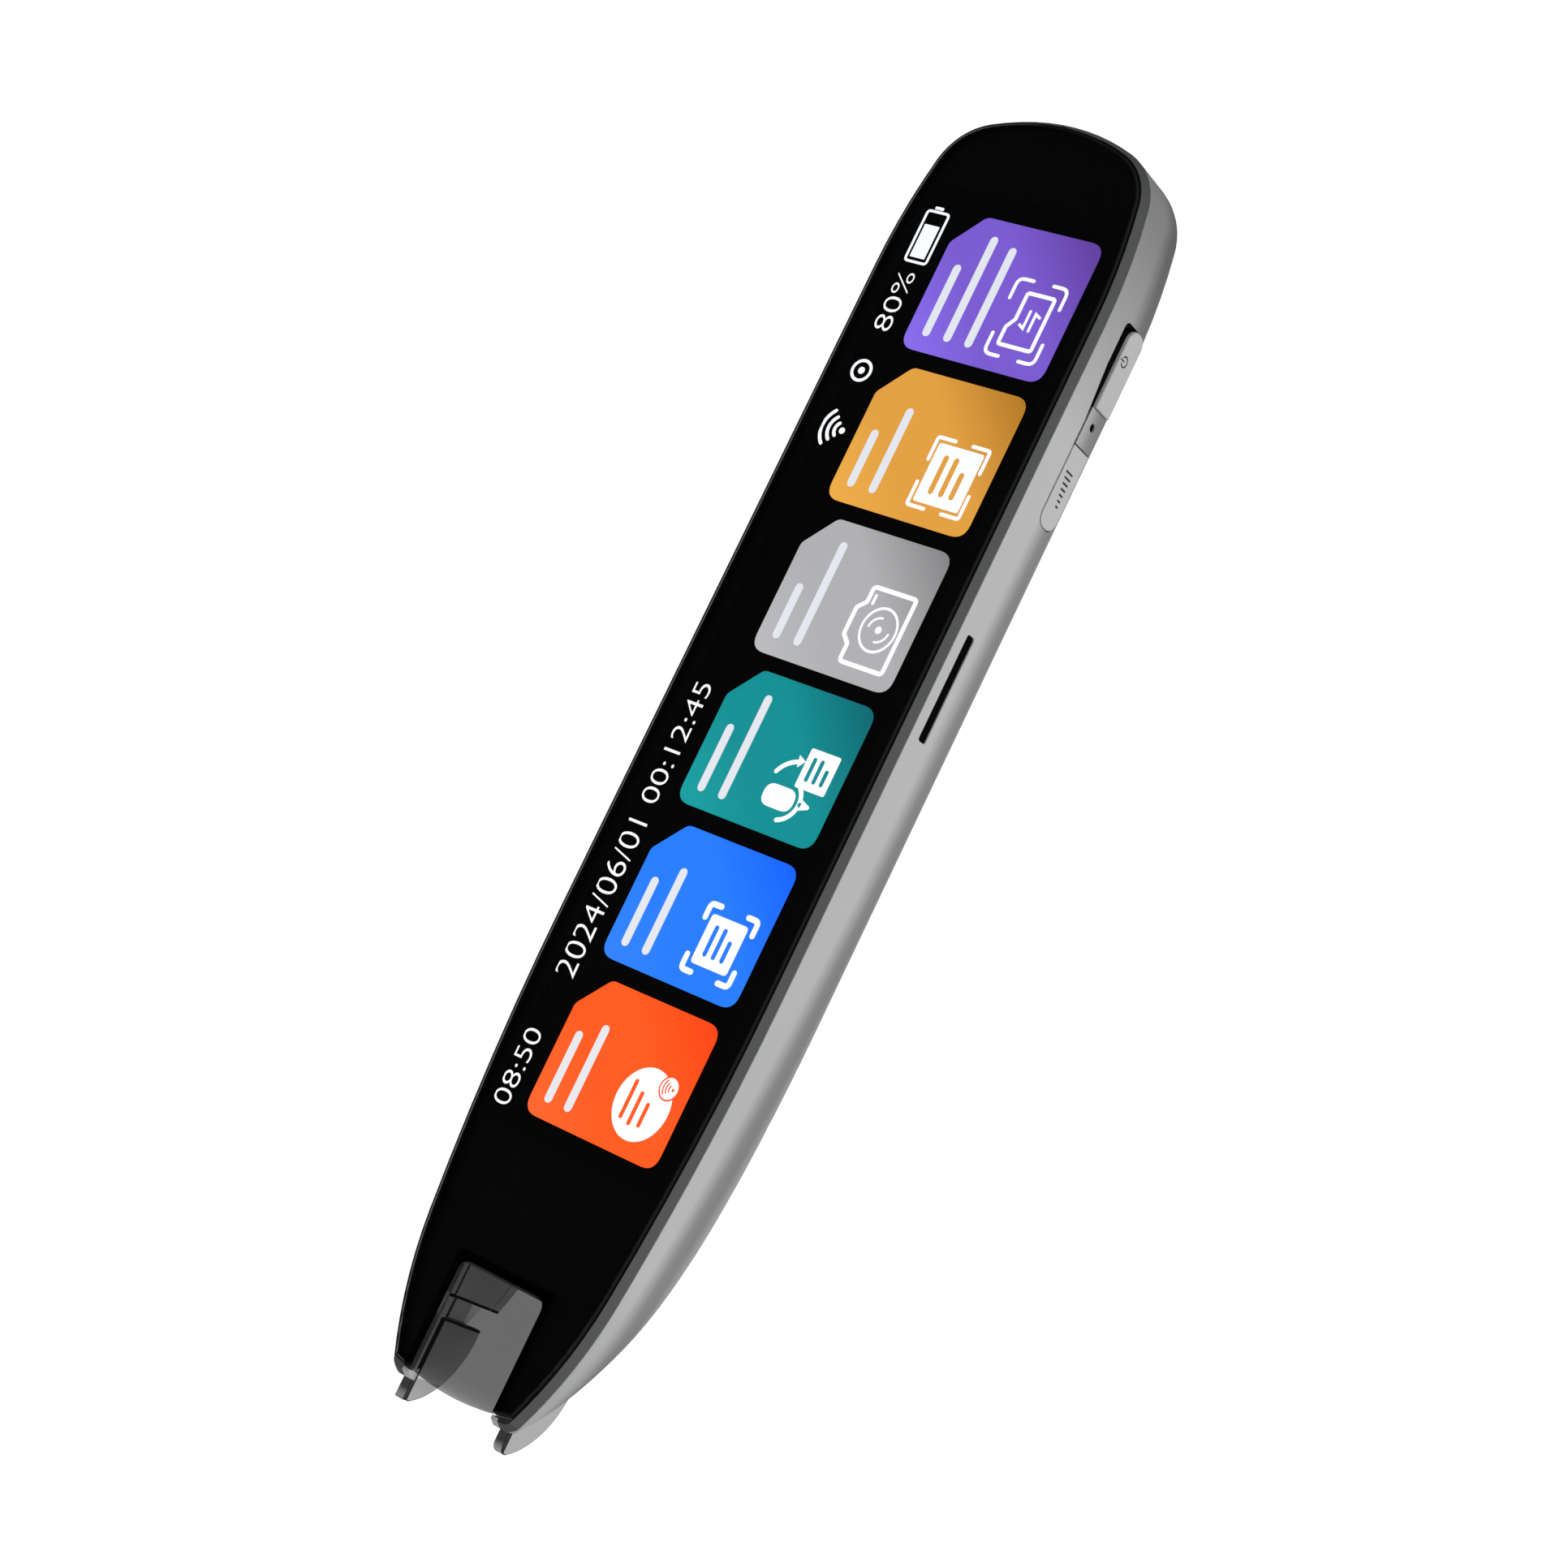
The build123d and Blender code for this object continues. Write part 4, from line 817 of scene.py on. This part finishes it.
def make_finishes():
    """One material for each slot of the record."""
    # each material's painted shade and painted light, by place
    shell_shading = (rolled_shade, grille_dimples, channel_light_and_shade, shade_inside)
    bezel_shading = (bezel_shade, channel_light_and_shade, rim_shadow_and_highlight)
    inner_grey = (0.05, 0.05, 0.052)
    camera = (CAMERA_X, 0, 0)
    return {
        "shell": moulded("satin_shell", SHELL, 0.45, changes=shell_shading, glow=painted_pocket_light),
        "frame": moulded("satin_bezel", BEZEL, 0.6, changes=bezel_shading, glow=painted_pocket_light),
        "key": moulded("satin_key", KEY, 0.45, changes=(shade_in_slot,)),
        "trigger": moulded("satin_trigger", TRIGGER, 0.5, changes=(fin_light_and_shade,), glow=painted_arm_light),
        "glass": clear_glass("cover_glass"),
        "display": matt_black("panel_black", (0.0004, 0.0004, 0.0005)),
        "backlight": moulded("milky_sheet", (0.78, 0.8, 0.82), 0.35),
        "chassis": brushed("die_cast", (0.5, 0.51, 0.53), 0.45, (1, 1, 1)),
        "steel": brushed("nickel_steel", (0.55, 0.55, 0.56), 0.3),
        "spring_steel": brushed("spring_strip", (0.45, 0.45, 0.47), 0.28, (40, 1, 1)),
        "dark_plastic": moulded("inner_plastic", inner_grey, 0.5, changes=(channel_light_and_shade,), glow=painted_pocket_light),
        "camera_black": moulded("camera_barrel", (0.012, 0.012, 0.014), 0.35),
        "led": moulded("led_package", (0.75, 0.72, 0.5), 0.3),
        "clear_window": printed_pane("scan_pane", (0.02, 0.02, 0.02), (NOSE_X, 0, 0), 1.0),
        "camera_glass": printed_pane("camera_pane", (0.008, 0.008, 0.01), camera, CAMERA_OPENING * MM),
        "lens": coated_lens("coated_lens"),
        "rubber": moulded("soft_boot", (0.015, 0.015, 0.015), 0.8),
        "foam": moulded("pad_foam", (0.03, 0.03, 0.032), 0.9, grain=2200.0, depth=0.03),
        "board": moulded("board_mask", (0.01, 0.07, 0.04), 0.35),
        "cell": moulded("cell_wrap", (0.55, 0.56, 0.58), 0.3, metallic=0.6),
        "flex": moulded("flex_film", (0.42, 0.2, 0.03), 0.3),
        "copper": brushed("antenna_copper", (0.8, 0.42, 0.25), 0.3),
        "mesh": moulded("fine_mesh", (0.02, 0.02, 0.02), 0.6, grain=9000.0, depth=0.02),
    }


def finish_cad(finishes):
    """Gives every carried-over node the material of its slot, and the card socket a black one."""
    for name, node in frame["nodes"].items():
        material = finishes[SLOTS[name]]
        # painted shade: the card socket is black, so that the card slot shows dark inside
        if name == "card_socket":
            material = moulded("card_mouth", (0.01, 0.01, 0.01), 0.6)
        for place in node.material_slots:
            place.material = material


# ------------------------------ black print behind the glass
def glass_outline():
    """The edge of the glass at its lower face, as (s, y) in millimetres, in order around it."""
    points = set()
    for vertex in frame["nodes"]["front_glass"].data.vertices:
        if vertex.co.z < glass_low.z + LOWER_FACE * MM:
            points.add((round((vertex.co.x - NOSE_X) / MM, 4), round(vertex.co.y / MM, 4)))
    upper = sorted((p for p in points if p[1] > 1e-4), key=lambda p: p[0])
    lower = sorted((p for p in points if p[1] < -1e-4), key=lambda p: -p[0])
    return upper, lower


def print_loops():
    """Outline of the print, with its notch at the nose and its opening over the display."""
    upper, lower = glass_outline()
    upper = [p for p in upper if not (p[0] < CHANNEL_END / 2 and p[1] < WINDOW_HIGH)]
    lower = [p for p in lower if not (p[0] < CHANNEL_END / 2 and p[1] > WINDOW_LOW)]
    corners = (
        (min(p[0] for p in lower), WINDOW_LOW),
        (WINDOW_END, WINDOW_LOW),
        (WINDOW_END, WINDOW_HIGH),
        (min(p[0] for p in upper), WINDOW_HIGH),
    )
    notch = rounded(corners, (SHARP, WINDOW_CORNER, WINDOW_CORNER, SHARP))
    low_s = (panel_low.x - NOSE_X) / MM + DISPLAY_INSET
    high_s = (panel_high.x - NOSE_X) / MM - DISPLAY_INSET
    half = panel_high.y / MM - DISPLAY_INSET
    return [upper + lower + notch, box_outline((low_s, -half), (high_s, half), DISPLAY_CORNER)]


def add_print():
    """The print as a thin sheet under the glass."""
    material = matt_black("print_black", (0.0016, 0.0016, 0.0017))
    bottom = glass_low.z - (PRINT_THICKNESS + CLOSE) * MM
    add_plate("glass_print", print_loops(), bottom, PRINT_THICKNESS, material)


# ------------------------------ the picture on the display
GLOW_WHITE = ((0.0, (1.0, 1.0, 1.0)), (1.0, (0.94, 0.96, 1.0)))
GLOW_LABEL = ((0.0, (0.84, 0.85, 0.87)), (1.0, (0.78, 0.81, 0.88)))
PICTURE_END = 130            # the two run from the nose end to this place
# each tile: where it starts, its length, its top and bottom edge, and its light, plain and deep colour
TILES = {
    "orange": (28.5, 15.5, 7.48, -9.95, srgb(255, 100, 40), srgb(255, 88, 22), srgb(255, 64, 2)),
    "blue": (45.9, 15.5, 7.42, -10.15, srgb(48, 128, 245), srgb(32, 122, 250), srgb(10, 95, 255)),
    "teal": (63.3, 15.65, 7.35, -10.3, srgb(18, 158, 160), srgb(6, 140, 144), srgb(0, 98, 108)),
    "grey": (80.6, 15.75, 7.25, -10.45, srgb(184, 184, 187), srgb(172, 172, 174), srgb(128, 126, 128)),
    "amber": (98.1, 15.85, 7.12, -10.65, srgb(236, 170, 70), srgb(222, 156, 62), srgb(172, 116, 30)),
    "purple": (115.75, 15.9, 7.0, -10.8, srgb(134, 108, 236), srgb(120, 88, 204), srgb(92, 58, 150)),
}
# blank labels: for each line its middle, where it starts and how long it is
LABELS = {
    "orange": ((5.3, 30.2, 7.9), (2.65, 30.2, 9.5)),
    "blue": ((5.2, 47.6, 7.7), (2.45, 47.6, 9.6)),
    "teal": ((5.1, 65.0, 7.6), (2.35, 65.0, 11.7)),
    "grey": ((5.0, 82.4, 6.3), (2.25, 82.4, 11.8)),
    "amber": ((4.9, 99.9, 6.6), (2.1, 99.9, 9.8)),
    "purple": ((4.65, 117.5, 8.4), (1.95, 117.5, 12.3), (-0.75, 117.5, 11.6)),
}


def tile_outline(start, length, top, bottom):
    """A rounded tile with one corner cut off."""
    end = start + length
    corners = (
        (start, bottom),
        (end, bottom),
        (end, top - TILE_CUT_ACROSS),
        (end - TILE_CUT_ALONG, top),
        (start, top),
    )
    radii = (TILE_CORNER, TILE_CORNER, TILE_CUT_CORNER, TILE_CUT_CORNER, TILE_CORNER)
    return rounded(corners, radii)


def bars(lines, width):
    """Rounded bars that stand for writing: each line has its start, its end and its middle."""
    return [stroke([(start, y), (end, y)], width) for start, end, y in lines]


def label(name, lines, material):
    """Blank label: a rounded bar in place of each line of words."""
    half = LABEL_HEIGHT / 2
    ends = [(start + half, start + length - half, middle) for middle, start, length in lines]
    picture(name, bars(ends, LABEL_HEIGHT), 1, material)


def fan(foot, dot, radii, width, spread=47):
    """Radio waves over a dot."""
    waves = [stroke(arc(foot, radius, 90 - spread, 90 + spread, 12), width) for radius in radii]
    return [disc(foot, dot, 20)] + waves


def orange_icon(white, tone):
    """A disc with writing, and a small disc with waves at its corner."""
    small = (36.5, -7.4)
    writing = ((32.1, 35.9, -3.55), (31.8, 35.0, -4.75), (32.0, 34.2, -5.95))
    gap = disc(small, 1.3, 36, 0.93)
    picture("orange_icon_disc", [disc((34.0, -5.27), 3.83, 64, 0.87)], 1, white)
    picture("orange_icon_marks", bars(writing, 0.46) + [gap], 2, tone)
    picture("orange_icon_small_disc", [disc(small, 1.12, 32, 0.93)], 3, white)
    picture("orange_icon_fan", fan((36.5, -7.9), 0.16, (0.5, 0.85, 1.2), 0.15, 38), 4, tone)


def blue_icon(white, tone):
    """A page with writing in a scanning frame."""
    writing = ((50.0, 52.9, -4.2), (50.0, 52.9, -5.3), (50.0, 51.9, -6.4))
    corners = brackets((47.85, -8.4), (55.0, -2.3), (1.55, 1.3), 0.62, 0.5)
    picture("blue_icon_brackets", corners, 1, white)
    picture("blue_icon_page", [box_outline((48.75, -7.65), (54.1, -3.0), 0.45)], 1, white)
    picture("blue_icon_lines", bars(writing, 0.5), 2, tone)


def teal_icon(white, tone):
    """A microphone, an arrow and a page."""
    width = 0.5
    capsule = box_outline((66.05, -5.95), (68.5, -2.05), 1.15)
    stand = stroke(arc((67.3, -4.3), 2.3, 196, 318, 14), width)
    stem = stroke([(67.3, -6.7), (67.3, -7.65)], width)
    arrow = stroke(arc((68.3, -5.2), 3.15, 64, 17, 10), width)
    head = [(70.75, -4.45), (72.05, -4.15), (71.6, -5.15)]
    writing = ((69.9, 72.1, -6.1), (69.9, 72.1, -7.05), (69.9, 71.3, -8.0))
    picture("teal_icon_microphone", [capsule, stand, stem, arrow], 1, white)
    picture("teal_icon_arrow_head", [head], 2, white)
    picture("teal_icon_page", [box_outline((68.85, -8.9), (73.15, -5.15), 0.25)], 3, white)
    picture("teal_icon_lines", bars(writing, 0.45), 4, tone)


def grey_icon(white):
    """A camera."""
    body = (
        (82.43, -8.77), (90.78, -8.77), (90.78, -3.4), (89.05, -3.4), (88.2, -2.5),
        (85.2, -2.5), (84.35, -3.4), (82.43, -3.4),
    )
    case = frame_lines(rounded(body, (0.4, 0.4, 0.45, 0.4, 0.4, 0.4, 0.4, 0.45)), 0.5)
    centre = (86.63, -6.12)
    lens = [disc(centre, 2.52, 56, 0.88), disc(centre, 2.22, 56, 0.88), disc(centre, 0.42, 24, 0.9)]
    sparks = [stroke(arc(centre, 1.3, turn, turn + 80, 8), 0.24) for turn in (5, 185)]
    flash = stroke([(89.05, -4.08), (89.95, -4.08)], 0.34)
    picture("grey_icon_camera", case + lens + sparks + [flash], 1, white)


def amber_icon(white, tone):
    """A page with writing in a tight scanning frame."""
    writing = ((101.9, 105.7, -4.5), (101.9, 105.7, -5.8), (101.9, 104.4, -7.1))
    corners = brackets((99.96, -9.0), (107.64, -2.5), (2.55, 2.15), 0.42, 0.3)
    picture("amber_icon_brackets", corners, 1, white)
    picture("amber_icon_page", [box_outline((100.5, -8.6), (107.1, -2.95), 0.3)], 1, white)
    picture("amber_icon_lines", bars(writing, 0.6), 2, tone)


def purple_icon(white):
    """A folder with two arrows in a scanning frame."""
    corners = brackets((117.5, -9.1), (126.15, -2.9), (2.3, 1.85), 0.4, 0.8)
    folder = (
        (118.8, -8.1), (124.8, -8.1), (124.8, -4.72), (121.75, -4.72), (120.75, -4.02), (118.8, -4.02),
    )
    case = frame_lines(rounded(folder, [0.3] * 6), 0.44)
    upper = stroke([(122.95, -6.0), (121.0, -6.0), (121.3, -5.45)], 0.32)
    lower = stroke([(120.85, -6.75), (122.8, -6.75), (122.5, -7.35)], 0.32)
    picture("purple_icon_brackets", corners, 1, white)
    picture("purple_icon_folder", case + [upper, lower], 1, white)


def status_line(white):
    """Clock, date, timer, radio fan, dial mark, charge in plain numbers and battery."""
    numbers("status_clock", "08:50", (28.15, 9.45), (36.4, 11.6), white)
    numbers("status_date", "2024/06/01", (42.5, 9.1), (59.9, 11.7), white)
    numbers("status_timer", "00:12:45", (62.0, 9.35), (75.6, 11.5), white)
    picture("status_radio", fan((105.35, 8.85), 0.36, (0.95, 1.75, 2.6), 0.4), 0, white)
    dial = (112.15, 10.0)
    rings = [disc(dial, 1.3, 36), disc(dial, 0.95, 36), disc(dial, 0.4, 20)]
    picture("status_dial", rings, 0, white)
    numbers("status_charge", "80%", (116.9, 9.05), (123.75, 11.2), white)
    shell = frame_lines(box_outline((125.0, 8.55), (130.9, 11.3), 0.4), 0.3)
    cap = box_outline((131.15, 9.5), (131.5, 10.6), 0.12)
    charge = box_outline((125.5, 9.0), (129.35, 10.9), 0.08)
    picture("status_battery", shell + [cap, charge], 0, white)


def add_picture():
    """The tiles with their blank labels and icons, and the status line over them."""
    white = lit("glow_white", GLOW_WHITE, (0, 0), (PICTURE_END, 0), 1.05)
    faint = lit("glow_label", GLOW_LABEL, (0, 0), (PICTURE_END, 0), 1.0)
    tones = {}
    for name, (start, length, top, bottom, light, plain, deep) in TILES.items():
        stops = ((0.0, light), (0.35, plain), (0.62, plain), (1.0, deep))
        tones[name] = lit("glow_" + name, stops, (start, top), (start + length, bottom), 1.08)
        picture("tile_" + name, [tile_outline(start, length, top, bottom)], 0, tones[name])
        label("label_" + name, LABELS[name], faint)
    orange_icon(white, tones["orange"])
    blue_icon(white, tones["blue"])
    teal_icon(white, tones["teal"])
    grey_icon(white)
    amber_icon(white, tones["amber"])
    purple_icon(white)
    status_line(white)


# ------------------------------ marks on the keys
def key_mark(name, loops, face_y, material, body):
    """A thin mark on a key's outer face, from outlines in (s, height)."""
    middle = face_y + (0.5 - MARK_PROUD) * MARK_THICKNESS * MM
    place = Matrix.Translation((NOSE_X, middle, 0)) @ Matrix.Rotation(radians(90), 4, "X")
    new_piece(name, plate_mesh(name, loops, MARK_THICKNESS, place), material, body)


def add_key_marks():
    """The power symbol, and a row of shrinking bars for the volume."""
    dark = moulded("key_marking", (0.02, 0.02, 0.02), 0.6)
    place = 122.4
    height = 6.8
    line = 0.17
    ring = stroke(arc((place, height), 0.55, 125, 415, 20), line)
    bar = stroke([(place, height + 0.1), (place, height + 0.76)], line)
    key_mark("power_symbol", [ring, bar], power_low.y, dark, "power_key")
    steps = []
    foot = 5.9
    for i in range(7):
        start = 109.5 - 0.6 * i
        top = foot + 1.5 - 0.16 * i
        steps.append(box_outline((start, foot), (start + 0.22, top), 0.06))
    key_mark("volume_bars", steps, volume_low.y, dark, "volume_key")


# ------------------------------ stage, light and camera
def backdrop_material():
    """Paper that glows for the camera, and is clear from below and to scattered light."""
    g = new_graph("backdrop")
    path = g.node("LightPath")
    seen = g.any_of(path.outputs["Is Camera Ray"], path.outputs["Is Transmission Ray"])
    seen = g.math("MULTIPLY_ADD", path.outputs["Is Glossy Ray"], MIRRORED_GLOW, seen)
    glow = g.node("Emission", {"Color": WHITE, "Strength": g.math("MULTIPLY", seen, BACKDROP_GLOW)})
    tone = g.ramp(g.noise(scale=3.0), grain_stops(BACKDROP, 0.99, 1.01))
    paper = g.node("BsdfDiffuse", {"Color": tone})
    lit_paper = g.node("AddShader", {0: paper, 1: glow})
    clear = g.any_of(g.node("NewGeometry").outputs["Backfacing"], path.outputs["Is Diffuse Ray"])
    return g.surface(g.node("MixShader", {0: clear, 1: lit_paper, 2: g.node("BsdfTransparent")}))


def backdrop_mesh():
    """A round floor that curves up into a wall, facing up and inwards."""
    cove = arc((FLOOR_RADIUS, COVE_RADIUS), COVE_RADIUS, -90, 0, 16)
    profile = cove + [(FLOOR_RADIUS + COVE_RADIUS, WALL_HEIGHT)]
    turns = [2 * pi * k / FLOOR_SIDES for k in range(FLOOR_SIDES)]
    shape = bmesh.new()
    centre = shape.verts.new((0, 0, 0))
    rows = []
    for radius, rise in profile:
        rows.append([shape.verts.new((radius * cos(turn), radius * sin(turn), rise)) for turn in turns])
    for k in range(FLOOR_SIDES):
        after = (k + 1) % FLOOR_SIDES
        shape.faces.new((centre, rows[0][k], rows[0][after]))
        for lower, upper in zip(rows, rows[1:]):
            shape.faces.new((lower[k], upper[k], upper[after], lower[after]))
    bmesh.ops.recalc_face_normals(shape, faces=shape.faces)
    shape.faces.ensure_lookup_table()
    if shape.faces[0].normal.z < 0:
        bmesh.ops.reverse_faces(shape, faces=shape.faces)
    mesh = bpy.data.meshes.new("backdrop")
    shape.to_mesh(mesh)
    shape.free()
    for face in mesh.polygons:
        face.use_smooth = True
    mesh.transform(Matrix.Translation((0, 0, -FLOOR_DROP * MM)))
    return mesh


def add_stage():
    """The floor throws no shadow itself, so that the lamp below it lights the back."""
    mesh = backdrop_mesh()
    mesh.materials.append(backdrop_material())
    floor = bpy.data.objects.new("backdrop", mesh)
    bpy.context.scene.collection.objects.link(floor)
    floor.visible_shadow = False


def add_sun(name, come_from, strength, spread):
    """A wide lamp far away."""
    lamp = bpy.data.lights.new(name, "SUN")
    lamp.energy = strength
    lamp.angle = radians(spread)
    holder = bpy.data.objects.new(name, lamp)
    holder.rotation_mode = "QUATERNION"
    holder.rotation_quaternion = Vector(come_from).to_track_quat("Z", "Y")
    bpy.context.scene.collection.objects.link(holder)


def add_world():
    """A plain studio: dark overhead, lighter towards the horizon and below it, and pale to the camera."""
    g = Graph(bpy.data.worlds.new("studio"), "OutputWorld")
    _, _, upward = g.split(g.node("TexCoord").outputs["Generated"])
    light = g.node("Background", {"Color": g.ramp(g.span(upward, -1.0, 1.0, 0.0, 1.0), STUDIO)})
    to_camera = g.node("LightPath").outputs["Is Camera Ray"]
    bpy.context.scene.world = g.surface(
        g.node("MixShader", {0: to_camera, 1: light, 2: g.node("Background")})
    )


def add_camera():
    """The camera that the picture is taken from."""
    data = bpy.data.cameras.new("camera")
    data.sensor_fit = "HORIZONTAL"
    data.sensor_width = SENSOR_WIDTH
    data.lens = VIEW_LENS
    data.clip_start = 0.01
    data.clip_end = 50.0
    holder = bpy.data.objects.new("camera", data)
    right = VIEW_UP.cross(VIEW_BACK).normalized()
    up = VIEW_BACK.cross(right).normalized()
    turn = Matrix((right, up, VIEW_BACK.normalized())).transposed()
    holder.matrix_world = Matrix.Translation(VIEW_TARGET + VIEW_BACK * VIEW_DISTANCE) @ turn.to_4x4()
    bpy.context.scene.collection.objects.link(holder)
    bpy.context.scene.camera = holder


# ------------------------------ the whole scene
bpy.context.scene.view_settings.view_transform = "Standard"
finish_cad(make_finishes())
add_print()
add_picture()
add_key_marks()
add_stage()
for name, settings in SUNS.items():
    add_sun(name, *settings)
add_world()
add_camera()
